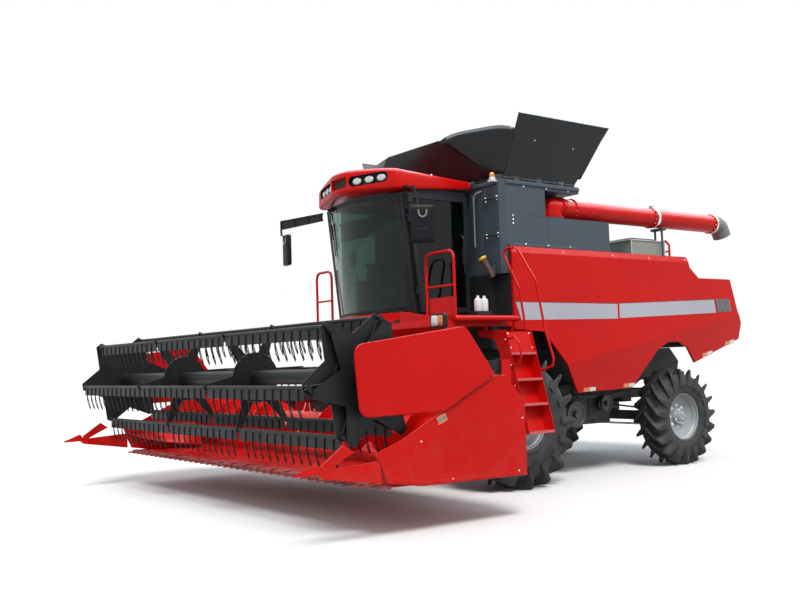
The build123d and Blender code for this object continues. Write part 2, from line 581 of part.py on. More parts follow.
with BuildPart() as cab_door:
    side_profile(door_outline(0), DOOR_Y)
    side_profile(door_outline(62), DOOR_Y, mode=Mode.SUBTRACT)
    block((ahead(CAB_REAR + 90), ahead(CAB_REAR + 130)), (CAB_Y + 48, CAB_Y + 80), (2760, 2960))
    block((ahead(CAB_REAR + 40), ahead(CAB_REAR + 130)), (CAB_Y + 48, CAB_Y + 60), (2760, 2800))
    block((ahead(CAB_REAR + 40), ahead(CAB_REAR + 130)), (CAB_Y + 48, CAB_Y + 60), (2920, 2960))
    for z in HINGE_Z:
        knuckle = hinge_point(z)
        side_profile([(door_front(z - 24) - 14, z - 24), (door_front(z - 24) + HINGE_GAP, z - 24),
                      (door_front(z + 24) + HINGE_GAP, z + 24), (door_front(z + 24) - 14, z + 24)],
                     (HINGE_Y - 8, HINGE_Y + 8))
        bar(knuckle - HINGE_DIR * 30, knuckle + HINGE_DIR * 30, 13)
        bar(knuckle - HINGE_DIR * 40, knuckle + HINGE_DIR * 40, 7, mode=Mode.SUBTRACT)
save(cab_door, "cab_door_frame")

with BuildPart() as door_glass:
    side_profile(door_outline(62), (CAB_Y + 22, CAB_Y + 30))
save(door_glass, "cab_door_glass")


LAMP_Z = 3728
POD_Y = 500  # middle of each lamp recess in the visor
POD = (600, 130, 55)  # its width, height and depth
POD_TURN = 19  # degrees that the visor turns back there
LAMP_PITCH = 185
EAVE_Z = 3690  # underside of the roof's sides
VISOR_Z = 3600  # underside of the visor ahead of the windshield


def roof_front(y):
    """How far ahead the roof's bowed front edge is at y."""
    return 1300 + 220 * (1 - (y / (CAB_Y + 55)) ** 2)


def roof_outline(grow):
    """Roof plan: straight sides, rounded corners and a bowed front edge."""
    y = CAB_Y + 55 + grow
    with BuildLine() as edge:
        ThreePointArc((ahead(1300 + grow), y), (ahead(1520 + grow), 0), (ahead(1300 + grow), -y))
        Polyline((ahead(1300 + grow), -y), (ahead(150 - grow), -y), (ahead(150 - grow), y),
                 (ahead(1300 + grow), y))
    plan = make_face(edge.line.edges())
    fillet(plan.vertices(), 70)


def pod_plane(side):
    """Floor of a lamp recess, facing ahead and outward."""
    turn = radians(side * POD_TURN)
    facing = Vector(cos(turn), sin(turn), 0)
    origin = Vector(ahead(roof_front(POD_Y)), side * POD_Y, LAMP_Z) - facing * POD[2]
    return Plane(origin=origin, x_dir=(-sin(turn), cos(turn), 0), z_dir=facing)


with BuildPart() as cab_roof:
    with BuildSketch(Plane.XY.offset(VISOR_Z)) as visor:
        roof_outline(0)
    extrude(visor.sketch, amount=ROOF_Z[1] - VISOR_Z)
    with BuildSketch(Plane.XY.offset(ROOF_Z[1])) as eaves:
        roof_outline(0)
    with BuildSketch(Plane.XY.offset(ROOF_Z[2])) as crown:
        roof_outline(-260)
    loft([eaves.sketch.face(), crown.sketch.face()])
    with BuildSketch(Plane.XY.offset(VISOR_Z)) as under:
        with BuildLine() as edge:
            ThreePointArc((ahead(1215), CAB_Y + 60), (ahead(1450), 0), (ahead(1215), -CAB_Y - 60))
            Polyline((ahead(1215), -CAB_Y - 60), (ahead(100), -CAB_Y - 60), (ahead(100), CAB_Y + 60),
                     (ahead(1215), CAB_Y + 60))
        make_face(edge.line.edges())
    extrude(under.sketch, amount=ROOF_Z[0] - VISOR_Z, mode=Mode.SUBTRACT)
    for side in (1, -1):
        side_profile([(100, VISOR_Z), (1130, VISOR_Z), (1070, EAVE_Z), (100, EAVE_Z)],
                     tuple(sorted((side * CAB_Y, side * (CAB_Y + 60)))), mode=Mode.SUBTRACT)
        with BuildSketch(pod_plane(side)) as recess:
            SlotOverall(POD[0], POD[1])
        extrude(recess.sketch, amount=POD[2] + 60, mode=Mode.SUBTRACT)
    block((ahead(1520 - 45), ahead(1600)), (-130, 130), (LAMP_Z - 60, LAMP_Z + 50), mode=Mode.SUBTRACT)
save(cab_roof, "cab_roof")

with BuildPart() as lamps:
    for side in (1, -1):
        with BuildSketch(pod_plane(side)) as lenses:
            with GridLocations(LAMP_PITCH, 1, 3, 1):
                Ellipse(68, 46)
        extrude(lenses.sketch, amount=28)
    block((ahead(TANK_X[1]), ahead(TANK_X[1] + 90)), (1255, 1330), (3760, 3780))
    bar((ahead(TANK_X[1] + 46), 1292, 3780), (ahead(TANK_X[1] + 46), 1292, 3880), 36)
save(lamps, "lamps")

with BuildPart() as seat:
    block((ahead(330), ahead(800)), (-240, 240), (2420, 2540))
    with Locations(Location((ahead(330), 0, 2840), (0, -10, 0))):
        Box(110, 460, 620)
    block((ahead(440), ahead(700)), (-160, 160), (FLOOR_Z, 2420))
save(seat, "seat")

with BuildPart() as controls:
    bar((ahead(1090), 0, FLOOR_Z + 12), (ahead(926), 0, 2770), 45)
    with Locations(Plane(origin=(ahead(925), 0, 2775), z_dir=(-160, 0, 660))):
        Cylinder(200, 26)
        Cylinder(172, 26, mode=Mode.SUBTRACT)
        Cylinder(50, 26)
        Box(360, 36, 14)
    block((ahead(420), ahead(960)), (-560, -330), (FLOOR_Z, 2650))
save(controls, "cab_controls")

MIRROR_AT = (1240, 1300, 3150)
MIRROR_SIZE = (215, 440, 60)
MIRROR_TURN = 56  # degrees that the head's back faces outward
ARM_X, ARM_FOOT_Y, ARM_TIP_Y = 1200, 925, 1190
with BuildPart() as mirrors:
    for side in (1, -1):
        low, high = sorted((side * (CAB_Y + 55), side * (CAB_Y + 100)))
        block((ahead(ARM_X - 25), ahead(ARM_X + 25)), (low, high), (3640, 3680))
        bar((ahead(ARM_X), side * ARM_FOOT_Y, 3640), (ahead(ARM_X), side * ARM_FOOT_Y, 3430), 13)
        bar((ahead(ARM_X), side * ARM_FOOT_Y, 3600), (ahead(ARM_X), side * ARM_TIP_Y, 3620), 10)
        bar((ahead(ARM_X), side * ARM_FOOT_Y, 3450), (ahead(ARM_X), side * ARM_TIP_Y, 3520), 10)
        bar((ahead(ARM_X), side * ARM_TIP_Y, 3640), (ahead(MIRROR_AT[0]), side * MIRROR_AT[1], 3250), 12)
        turn = radians(side * MIRROR_TURN)
        with BuildSketch(Plane(origin=(ahead(MIRROR_AT[0]), side * MIRROR_AT[1], MIRROR_AT[2]),
                               x_dir=(-sin(turn), cos(turn), 0), z_dir=(cos(turn), sin(turn), 0))) as head:
            RectangleRounded(MIRROR_SIZE[0], MIRROR_SIZE[1], 30)
        extrude(head.sketch, amount=MIRROR_SIZE[2] / 2, both=True)
save(mirrors, "mirrors")

# ---------------------------------------------------------------- platform and ladder
with BuildPart() as platform:
    block((ahead(120), ahead(1110)), (CAB_Y + 50, 1660), (2040, FLOOR_Z - 20))
    block((ahead(120), ahead(1110)), (-1380, -CAB_Y - 20), (2040, FLOOR_Z - 20))
    block((ahead(100), ahead(1000)), (CAB_Y + 60, CAB_Y + 120), (1960, 2040))
    for y in (1380, -1320):
        block((ahead(0), ahead(1000)), (y, y + 60), (1960, 2040))
    side_profile([(1040, 1880), (1112, 1880), (1270, 1960), (1262, 2036), (1130, 2036), (1040, 1960)],
                 (-1300, 1600))
    bar((ahead(120), 1640, FLOOR_Z - 54), (ahead(1110), 1640, FLOOR_Z - 54), 34)
save(platform, "platform")

RAIL_R = 17
RAIL_TOP_Z = 2830
RAIL_CORNER = 80
with BuildPart() as handrails:
    for y0, y1 in ((1120, 1630), (-1340, -960)):
        x = ahead(1080)
        pipe([(x, y0, FLOOR_Z - 20), (x, y0, RAIL_TOP_Z - RAIL_CORNER),
              (x, y0 + RAIL_CORNER * 0.3, RAIL_TOP_Z - 24),
              (x, y0 + RAIL_CORNER, RAIL_TOP_Z), (x, y1 - RAIL_CORNER, RAIL_TOP_Z),
              (x, y1 - RAIL_CORNER * 0.3, RAIL_TOP_Z - 24), (x, y1, RAIL_TOP_Z - RAIL_CORNER),
              (x, y1, FLOOR_Z - 20)], RAIL_R)
        bar((x, y0, 2430), (x, y1, 2430), RAIL_R - 4)
    x = ahead(-3400)
    pipe([(x, 500, DECK_Z), (x, 500, 3155), (x, 560, 3215), (x, 1140, 3215), (x, 1200, 3155),
          (x, 1200, DECK_Z)], 16)
    bar((x, 500, 3060), (x, 1200, 3060), 12)
save(handrails, "handrails")

# Closed-back ladder that leans out from the platform; places in its cross plane are (left, height).
LADDER_X = (20, 430)
LADDER_TOP = (1762, 1905)
LADDER_FOOT = (2092, 700)
LADDER_DEPTH = 190
LADDER_ARM = [(1600, 1905), (1272, 1922), (1272, 1845), (1560, 1800), (1620, 1690)]  # inner edge of its arms
STEPS_Z = (1620, 1316, 1028, 712)
GRAB_LOOP = [(1767, 1789), (1900, 1815), (1985, 1740), (2010, 1590), (1960, 1500), (1847, 1490)]
# grab rail's bends: ahead of the front axle, left and height
GRAB_RAIL = [(14, 1675, 1850), (80, 1643, 2409), (130, 1454, 2823), (130, 1466, 2876), (130, 1516, 2902),
             (130, 1640, 2900), (130, 1720, 2838), (80, 1925, 2479), (30, 1993, 1925), (14, 2104, 1550),
             (14, 2084, 1469), (14, 1880, 1412)]


def ladder_front(z):
    """Outer edge of the ladder's stringers at a height."""
    t = (LADDER_TOP[1] - z) / (LADDER_TOP[1] - LADDER_FOOT[1])
    return LADDER_TOP[0] + t * (LADDER_FOOT[0] - LADDER_TOP[0])


with BuildPart() as ladder:
    stringer = LADDER_ARM + [(ladder_front(1380) - LADDER_DEPTH, 1380),
                             (LADDER_FOOT[0] - LADDER_DEPTH, LADDER_FOOT[1]), LADDER_FOOT, LADDER_TOP]
    for x in LADDER_X:
        front_profile(stringer, (ahead(x), ahead(x + 6)))
        block((ahead(x - 6), ahead(x + 12)), (1380, 1440), (1900, 1960))
    across = (ahead(LADDER_X[0]), ahead(LADDER_X[1]))
    depth = LADDER_DEPTH - 20
    front_profile([(ladder_front(1840) - depth, 1840), (ladder_front(702) - depth, 702),
                   (ladder_front(702) - depth + 6, 702), (ladder_front(1840) - depth + 6, 1840)], across)
    front_profile([(ladder_front(1880) - 30, 1880), (ladder_front(1640) - 30, 1640),
                   (ladder_front(1640) - 24, 1640), (ladder_front(1880) - 24, 1880)], across)
    for z in STEPS_Z:
        block(across, (ladder_front(z) - depth, ladder_front(z) - 4), (z - 12, z + 12))
    pipe([(ahead(LADDER_X[1] + 8), y, z) for y, z in GRAB_LOOP], 12)
    pipe([(ahead(x), y, z) for x, y, z in GRAB_RAIL], 14)
save(ladder, "ladder")

# ---------------------------------------------------------------- feeder house and lift cylinders
FEEDER_END = (1500, 810)
MOUTH_Z = (630, 990)  # open height of the feeder's mouth
FEEDER_H = 200  # half height
FEEDER_W = 470
fp, fe = Vector(*FEEDER_PIVOT), Vector(*FEEDER_END)
fd = (fe - fp).normalized()
fn = Vector(-fd.Y, fd.X)
HEADER_REAR = 1500
mouth = [(HEADER_REAR, MOUTH_Z[1] + 20), (HEADER_REAR, MOUTH_Z[0] - 20)]
with BuildPart() as feeder_house:
    top = fp + fn * FEEDER_H
    low = fp - fn * FEEDER_H
    side_profile([(top.X, top.Y), mouth[0], mouth[1], (low.X, low.Y)], (-FEEDER_W, FEEDER_W))
    bar((ahead(fp.X), -FEEDER_W, fp.Y), (ahead(fp.X), FEEDER_W, fp.Y), FEEDER_H)
    inner_top, inner_low = fp + fn * (FEEDER_H - 20), fp - fn * (FEEDER_H - 20)
    side_profile([(inner_top.X, inner_top.Y), (HEADER_REAR, MOUTH_Z[1]),
                  (HEADER_REAR, MOUTH_Z[0]), (inner_low.X, inner_low.Y)],
                 (-FEEDER_W + 12, FEEDER_W - 12), mode=Mode.SUBTRACT)
    bar((ahead(fp.X), -FEEDER_W - 30, fp.Y), (ahead(fp.X), FEEDER_W + 30, fp.Y), 41, mode=Mode.SUBTRACT)
    for side in (1, -1):
        for ear in (-58, 58):
            y = side * CYLINDER_Y + ear
            side_profile([(960, 920), (960, 780), (1060, 780), (1140, 900)], (y - 8, y + 8))
        bar((ahead(1010), side * CYLINDER_Y - 72, 820), (ahead(1010), side * CYLINDER_Y + 72, 820), 16)
save(feeder_house, "feeder_house")


with BuildPart() as front_frame:
    bar((ahead(fp.X), -600, fp.Y), (ahead(fp.X), 600, fp.Y), 40)
    for side in (1, -1):
        low, high = sorted((side * 520, side * 580))
        side_profile([(20, 1300), (20, 1640), (560, 1560), (560, 1440)], (low, high))
    for side in (1, -1):
        low, high = sorted((side * 560, side * 660))
        block((ahead(100), ahead(1000)), (low, high), (1860, 2040))
    block((ahead(900), ahead(1000)), (-560, 560), (1860, 2040))
save(front_frame, "front_frame")

CYLINDER_EYE = (1010, 820)


def cylinder_pair(foot, eye, y, radius, rod, reach, foot_bore, eye_bore, name):
    """Barrels and rods of a pair of hydraulic cylinders; the rod's eye has play round its pin."""
    foot, eye = Vector(ahead(foot[0]), 0, foot[1]), Vector(ahead(eye[0]), 0, eye[1])
    run = (eye - foot).normalized()
    with BuildPart() as barrels:
        for side in (1, -1):
            offset = Vector(0, side * y, 0)
            start, end = foot + offset, foot + run * reach + offset
            bar(start + run * (radius * 0.7), end, radius)
            bar(start + Vector(0, -radius * 0.75, 0), start + Vector(0, radius * 0.75, 0), radius)
            bar(start + run * (radius * 1.6), end + run * 10, rod + 1.5, mode=Mode.SUBTRACT)
            bar(start + Vector(0, -radius, 0), start + Vector(0, radius, 0), foot_bore,
                mode=Mode.SUBTRACT)
    save(barrels, f"{name}_barrels")
    length = (eye - foot).length
    with BuildPart() as rods:
        for side in (1, -1):
            offset = Vector(0, side * y, 0)
            bar(foot + run * (length - reach) + offset + run * 60, eye + offset, rod)
            bar(eye + offset - Vector(0, radius * 0.6, 0), eye + offset + Vector(0, radius * 0.6, 0),
                eye_bore + 9)
            bar(eye + offset - Vector(0, radius, 0), eye + offset + Vector(0, radius, 0), eye_bore,
                mode=Mode.SUBTRACT)
    save(rods, f"{name}_rods")


cylinder_pair(CYLINDER_FOOT, CYLINDER_EYE, CYLINDER_Y, 42, 24, 620, 21, 26, "lift_cylinder")

# ---------------------------------------------------------------- header
AUGER_AT = (2020, 850)
AUGER_TUBE_R = 150
FLIGHT_R = 270
KNIFE_X = 3060
TROUGH = [(HEADER_REAR, 1190), (HEADER_REAR, 640), (1620, 520), (1800, 470), (2300, 440), (KNIFE_X, 455)]
TROUGH_Y = HEADER_Y - 40
with BuildPart() as header_trough:
    with BuildSketch(side_plane(TROUGH_Y)):
        Polygon(*folded(outline(TROUGH), 12), align=None)
    extrude(amount=2 * TROUGH_Y)
    block((ahead(HEADER_REAR), ahead(HEADER_REAR + 14)), (-FEEDER_W + 12, FEEDER_W - 12), MOUTH_Z,
          mode=Mode.SUBTRACT)
    block((ahead(HEADER_REAR - 110), ahead(HEADER_REAR)), (-TROUGH_Y, TROUGH_Y), (1110, 1190))
    for side in (1, -1):
        low, high = sorted((side * FEEDER_W, side * TROUGH_Y))
        block((ahead(HEADER_REAR - 80), ahead(HEADER_REAR)), (low, high), (480, 560))
        for y in (900, 1900, 2900):
            low, high = sorted((side * y, side * (y + 40)))
            block((ahead(HEADER_REAR - 60), ahead(HEADER_REAR)), (low, high), (560, 1110))
save(header_trough, "header_trough")

ARM_Y = (2950, 3000)
REEL_CYL_FOOT = (1900, 1180)  # reel cylinder's lower pin on the end sheet
REEL_CYL_EYE = (2420, 1385)
END_SHEET = [(1430, 420), (1430, 1130), (1670, 1395), (1790, 1405), (2950, 860), (3230, 760), (3120, 500),
             (2740, 440)]
# divider's sections: ahead of the front axle, top, bottom and width
DIVIDER = [(3190, 700, 505, 60), (3790, 668, 600, 34), (3840, 730, 640, 34), (NOSE_REACH, 652, 636, 8)]
WING = [(3790, 640), (3800, 705), (3560, 868), (3460, 800)]
REEL_POST_Y = 3007  # inner face of the posts that carry the reel arms
with BuildPart() as header_ends:
    for side in (1, -1):
        side_profile(END_SHEET, tuple(sorted((side * (HEADER_Y - 40), side * HEADER_Y))))
        low, high = sorted((side * REEL_POST_Y, side * (HEADER_Y - 40)))
        side_profile([(1560, 1200), (1560, 1560), (1680, 1560), (1680, 1200)], (low, high))
        low, high = sorted((side * (ARM_Y[0] - 5), side * REEL_POST_Y))
        pivot = (ahead(REEL_ARM_PIVOT[0]), REEL_ARM_PIVOT[1])
        bar((pivot[0], low, pivot[1]), (pivot[0], high, pivot[1]), 20)
        low, high = sorted((side * (ARM_Y[0] + 4), side * (HEADER_Y - 40)))
        bar((ahead(REEL_CYL_FOOT[0]), low, REEL_CYL_FOOT[1]),
            (ahead(REEL_CYL_FOOT[0]), high, REEL_CYL_FOOT[1]), 10)
        middle = side * (HEADER_Y - 30)
        sections = []
        for x, top, bottom, width in DIVIDER:
            with BuildSketch(Plane.YZ.offset(ahead(x))) as section:
                Polygon((middle - width / 2, bottom), (middle + width / 2, bottom), (middle + width / 3, top),
                        (middle - width / 3, top), align=None)
            sections.append(section.sketch.face())
        loft(sections[:2], ruled=True)
        loft(sections[1:3], ruled=True)
        loft(sections[2:], ruled=True)
        side_profile(WING, (middle - 14, middle + 14))
save(header_ends, "header_ends")

GUARD_PITCH = 152.4
GUARDS = 38
with BuildPart() as cutter_bar:
    block((ahead(KNIFE_X), ahead(KNIFE_X + 60)), (-TROUGH_Y, TROUGH_Y), (440, 470))
    for i in range(GUARDS):
        y = (i - (GUARDS - 1) / 2) * GUARD_PITCH
        with BuildSketch(Plane.XY.offset(446)):
            Polygon((ahead(KNIFE_X + 55), y - 16), (ahead(KNIFE_X + 190), y - 4),
                    (ahead(KNIFE_X + 190), y + 4), (ahead(KNIFE_X + 55), y + 16), align=None)
        extrude(amount=20)
save(cutter_bar, "cutter_bar")

AUGER_END = 2960
FLIGHT_PITCH = 560
FLIGHT_STEPS = 12  # straight facets to a turn
FLIGHT_Y = (500, 2880)
FINGERS = 9


def flight_section(side, y, turn):
    """Radial slice through the flight at a distance from the header's middle."""
    out = Vector(cos(turn), 0, sin(turn))
    with BuildSketch(Plane(origin=(ahead(AUGER_AT[0]), side * y, AUGER_AT[1]), x_dir=out,
                           z_dir=Vector(0, 1, 0).cross(out))) as section:
        with Locations(((FLIGHT_R + AUGER_TUBE_R - 12) / 2, 0)):
            Rectangle(FLIGHT_R - AUGER_TUBE_R + 12, 8)
    return section.sketch.face()


with BuildPart() as header_auger:
    bar((ahead(AUGER_AT[0]), -AUGER_END, AUGER_AT[1]), (ahead(AUGER_AT[0]), AUGER_END, AUGER_AT[1]),
        AUGER_TUBE_R)
    count = int((FLIGHT_Y[1] - FLIGHT_Y[0]) / FLIGHT_PITCH * FLIGHT_STEPS)
    for side in (1, -1):
        slices = []
        for i in range(count + 1):
            part_turn = i / FLIGHT_STEPS
            slices.append(flight_section(side, FLIGHT_Y[0] + FLIGHT_PITCH * part_turn,
                                         side * 2 * pi * part_turn))
        loft(slices, ruled=True)
    for i in range(FINGERS):
        y = (i - (FINGERS - 1) / 2) * 100
        turn = radians(110 * i)
        middle = Vector(ahead(AUGER_AT[0]), y, AUGER_AT[1])
        bar(middle, middle + Vector(cos(turn), 0, sin(turn)) * (FLIGHT_R - 5), 8)
save(header_auger, "header_auger")

# ---------------------------------------------------------------- reel
REEL_X = ahead(REEL_REACH)
REEL_END = 2880
SPIDERS = (-2860, -900, 900, 2860)
SPIDER_T = 10
END_NOTCH_R = 390  # how far out the end plates reach between bats
ECCENTRIC = (-70, -60)


def bat_axis(k):
    """Bat pivot k at rest: x and z."""
    a = radians(BAT_PHASE + 60 * k)
    return REEL_X + REEL_R * cos(a), REEL_Z + REEL_R * sin(a)


def polar(centre, radius, angle):
    a = radians(angle)
    return centre[0] + radius * cos(a), centre[1] + radius * sin(a)


def star(centre, tip_r, notch_r):
    """Corners of a six-armed plate, with its arms towards the bats."""
    corners = []
    for k in range(BATS):
        a = BAT_PHASE + 60 * k
        corners += [polar(centre, tip_r, a - 4), polar(centre, tip_r, a + 4), polar(centre, notch_r, a + 30)]
    return corners


with BuildPart() as reel_core:
    bar((REEL_X, -REEL_END, REEL_Z), (REEL_X, REEL_END, REEL_Z), 75)
    bar((REEL_X, -3000, REEL_Z), (REEL_X, 3000, REEL_Z), 30)
    for y in SPIDERS:
        with BuildSketch(side_plane(y + SPIDER_T / 2)) as spider:
            if abs(y) > 2000:
                Polygon(*star((REEL_X, REEL_Z), REEL_R + 30, END_NOTCH_R), align=None)
            else:
                with Locations((REEL_X, REEL_Z)):
                    Circle(265)
                    with PolarLocations(0, BATS, BAT_PHASE):
                        Polygon((150, -75), (REEL_R + 28, -26), (REEL_R + 28, 26), (150, 75), align=None)
            with Locations(*[bat_axis(k) for k in range(BATS)]):
                Circle(19, mode=Mode.SUBTRACT)
        extrude(spider.sketch, amount=SPIDER_T)
save(reel_core, "reel_core")

TINE_DROP = 285
TINE_PITCH = 152
TINES = 37
SLAT = (12, 108)  # top and bottom of a bat's slat below its pivot
SLAT_SPANS = ((-2835, -925), (-875, 875), (925, 2835))
CRANK_Y = 2900
for k in range(BATS):
    bx, bz = bat_axis(k)
    with BuildPart() as bat:
        bar((bx, -2890, bz), (bx, CRANK_Y + 10, bz), 17)
        for span in SLAT_SPANS:
            block((bx - 4, bx + 2), span, (bz - SLAT[1], bz - SLAT[0]))
        tines = []
        for i in range(TINES):
            y = (i - (TINES - 1) / 2) * TINE_PITCH
            if min(abs(y - s) for s in SPIDERS) < 40:
                continue
            with BuildSketch(side_plane(y + 4)) as tine:
                Polygon((bx + 2, bz - 20), (bx + 10, bz - 20), (bx + 9, bz - 130), (bx - 30, bz - TINE_DROP),
                        (bx - 38, bz - TINE_DROP), (bx + 2, bz - 140), align=None)
            tines.append(Solid.extrude(tine.sketch.face(), Vector(0, 8, 0)))
        add(tines)
        px, pz = bx + ECCENTRIC[0], bz + ECCENTRIC[1]
        turn = degrees(atan2(ECCENTRIC[1], ECCENTRIC[0]))
        with BuildSketch(Plane(origin=((bx + px) / 2, CRANK_Y + 10, (bz + pz) / 2),
                               x_dir=(cos(radians(turn)), 0, sin(radians(turn))), z_dir=(0, 1, 0))):
            SlotCenterToCenter(hypot(*ECCENTRIC), 40)
        extrude(amount=-8)
        bar((px, CRANK_Y + 10, pz), (px, CRANK_Y + 30, pz), 9)
    save(bat, f"reel_bat_{k + 1}")

RING_Y = (CRANK_Y + 15, CRANK_Y + 23)
RING_NOTCH_R = 330
RING_BORE_R = 151
ex, ez = REEL_X + ECCENTRIC[0], REEL_Z + ECCENTRIC[1]
with BuildPart() as reel_eccentric:
    with BuildSketch(side_plane(RING_Y[1])):
        Polygon(*star((ex, ez), REEL_R + 25, RING_NOTCH_R), align=None)
        with Locations((ex, ez)):
            Circle(RING_BORE_R, mode=Mode.SUBTRACT)
        with Locations(*[polar((ex, ez), REEL_R, BAT_PHASE + 60 * k) for k in range(BATS)]):
            Circle(10, mode=Mode.SUBTRACT)
    extrude(amount=RING_Y[1] - RING_Y[0])
save(reel_eccentric, "reel_eccentric")

with BuildPart() as reel_arms:
    for side in (1, -1):
        side_profile([(1560, 1460), (1560, 1560), (3180, 1510), (3330, 1500), (3330, 1400), (3180, 1400)],
                     tuple(sorted((side * ARM_Y[0], side * ARM_Y[1]))))
        if side > 0:
            bar((ex, RING_Y[0], ez), (ex, ARM_Y[0], ez), RING_BORE_R - 1)
        low, high = sorted((side * (ARM_Y[0] - 200), side * (ARM_Y[1] + 200)))
        bar((REEL_X, low, REEL_Z), (REEL_X, high, REEL_Z), 31, mode=Mode.SUBTRACT)
        pivot = (ahead(REEL_ARM_PIVOT[0]), REEL_ARM_PIVOT[1])
        bar((pivot[0], low, pivot[1]), (pivot[0], high, pivot[1]), 21, mode=Mode.SUBTRACT)
        low, high = sorted((side * ARM_Y[0], side * (ARM_Y[0] + 12)))
        side_profile([(REEL_CYL_EYE[0] - 24, 1500), (REEL_CYL_EYE[0] + 24, 1500),
                      (REEL_CYL_EYE[0] + 24, 1360), (REEL_CYL_EYE[0] - 24, 1360)], (low, high))
        low, high = sorted((side * ARM_Y[0], side * (ARM_Y[1] - 2)))
        bar((ahead(REEL_CYL_EYE[0]), low, REEL_CYL_EYE[1]),
            (ahead(REEL_CYL_EYE[0]), high, REEL_CYL_EYE[1]), 7)
save(reel_arms, "reel_arms")

SHIELD = [(3460, 1718), (3410, 1095), (2470, 1110), (1840, 1420), (2190, 1880)]
SHIELD_CORNER = 110  # radius of its two front corners
with BuildPart() as reel_shields:
    for side in (1, -1):
        with BuildSketch(side_plane(max(side * 3072, side * 3092))) as sheet:
            Polygon(*outline(SHIELD), align=None)
            for corner in SHIELD[:2]:
                nearest = sheet.vertices().sort_by_distance(Vector(ahead(corner[0]), corner[1]))[0]
                fillet(nearest, SHIELD_CORNER)
        extrude(sheet.sketch, amount=20)
        for x in (2300, 3050):
            low, high = sorted((side * ARM_Y[1], side * 3072))
            block((ahead(x), ahead(x + 60)), (low, high), (1450, 1500))
save(reel_shields, "reel_shields")

cylinder_pair(REEL_CYL_FOOT, REEL_CYL_EYE, 2984, 15, 7, 330, 11, 16, "reel_cylinder")
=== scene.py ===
import json
import math

import bmesh
import bpy
from mathutils import Matrix, Vector


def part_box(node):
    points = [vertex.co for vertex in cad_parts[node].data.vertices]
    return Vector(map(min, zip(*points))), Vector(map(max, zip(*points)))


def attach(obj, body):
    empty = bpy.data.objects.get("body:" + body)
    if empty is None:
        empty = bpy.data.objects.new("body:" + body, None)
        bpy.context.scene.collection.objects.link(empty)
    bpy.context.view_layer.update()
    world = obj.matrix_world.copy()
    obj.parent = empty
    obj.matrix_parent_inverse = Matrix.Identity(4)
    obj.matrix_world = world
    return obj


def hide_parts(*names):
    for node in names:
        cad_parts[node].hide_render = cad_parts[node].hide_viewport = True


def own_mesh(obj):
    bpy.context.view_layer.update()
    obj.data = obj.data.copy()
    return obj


# Looks of the combine harvester, in metres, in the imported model's frame:
# +X forward over the header, +Y the machine's left, +Z up, z = 0 the ground.

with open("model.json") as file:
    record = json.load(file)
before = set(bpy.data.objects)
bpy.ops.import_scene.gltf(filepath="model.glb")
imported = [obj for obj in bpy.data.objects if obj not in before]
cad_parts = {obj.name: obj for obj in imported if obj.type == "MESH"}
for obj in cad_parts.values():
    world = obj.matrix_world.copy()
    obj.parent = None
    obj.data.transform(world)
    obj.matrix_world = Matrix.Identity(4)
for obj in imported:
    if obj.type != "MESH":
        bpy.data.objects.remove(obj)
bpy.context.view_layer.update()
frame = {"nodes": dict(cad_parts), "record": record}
NODES = frame["nodes"]
SLOTS = {part["node"]: part["material_slot"] for part in frame["record"]["subparts"]}


def middle(node):
    low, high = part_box(node)
    return (Vector(low) + Vector(high)) / 2


AXLE_X = middle("front_rim_left").x  # front axle
REEL = middle("reel_core")
SIDES = (("left", 1), ("right", -1))


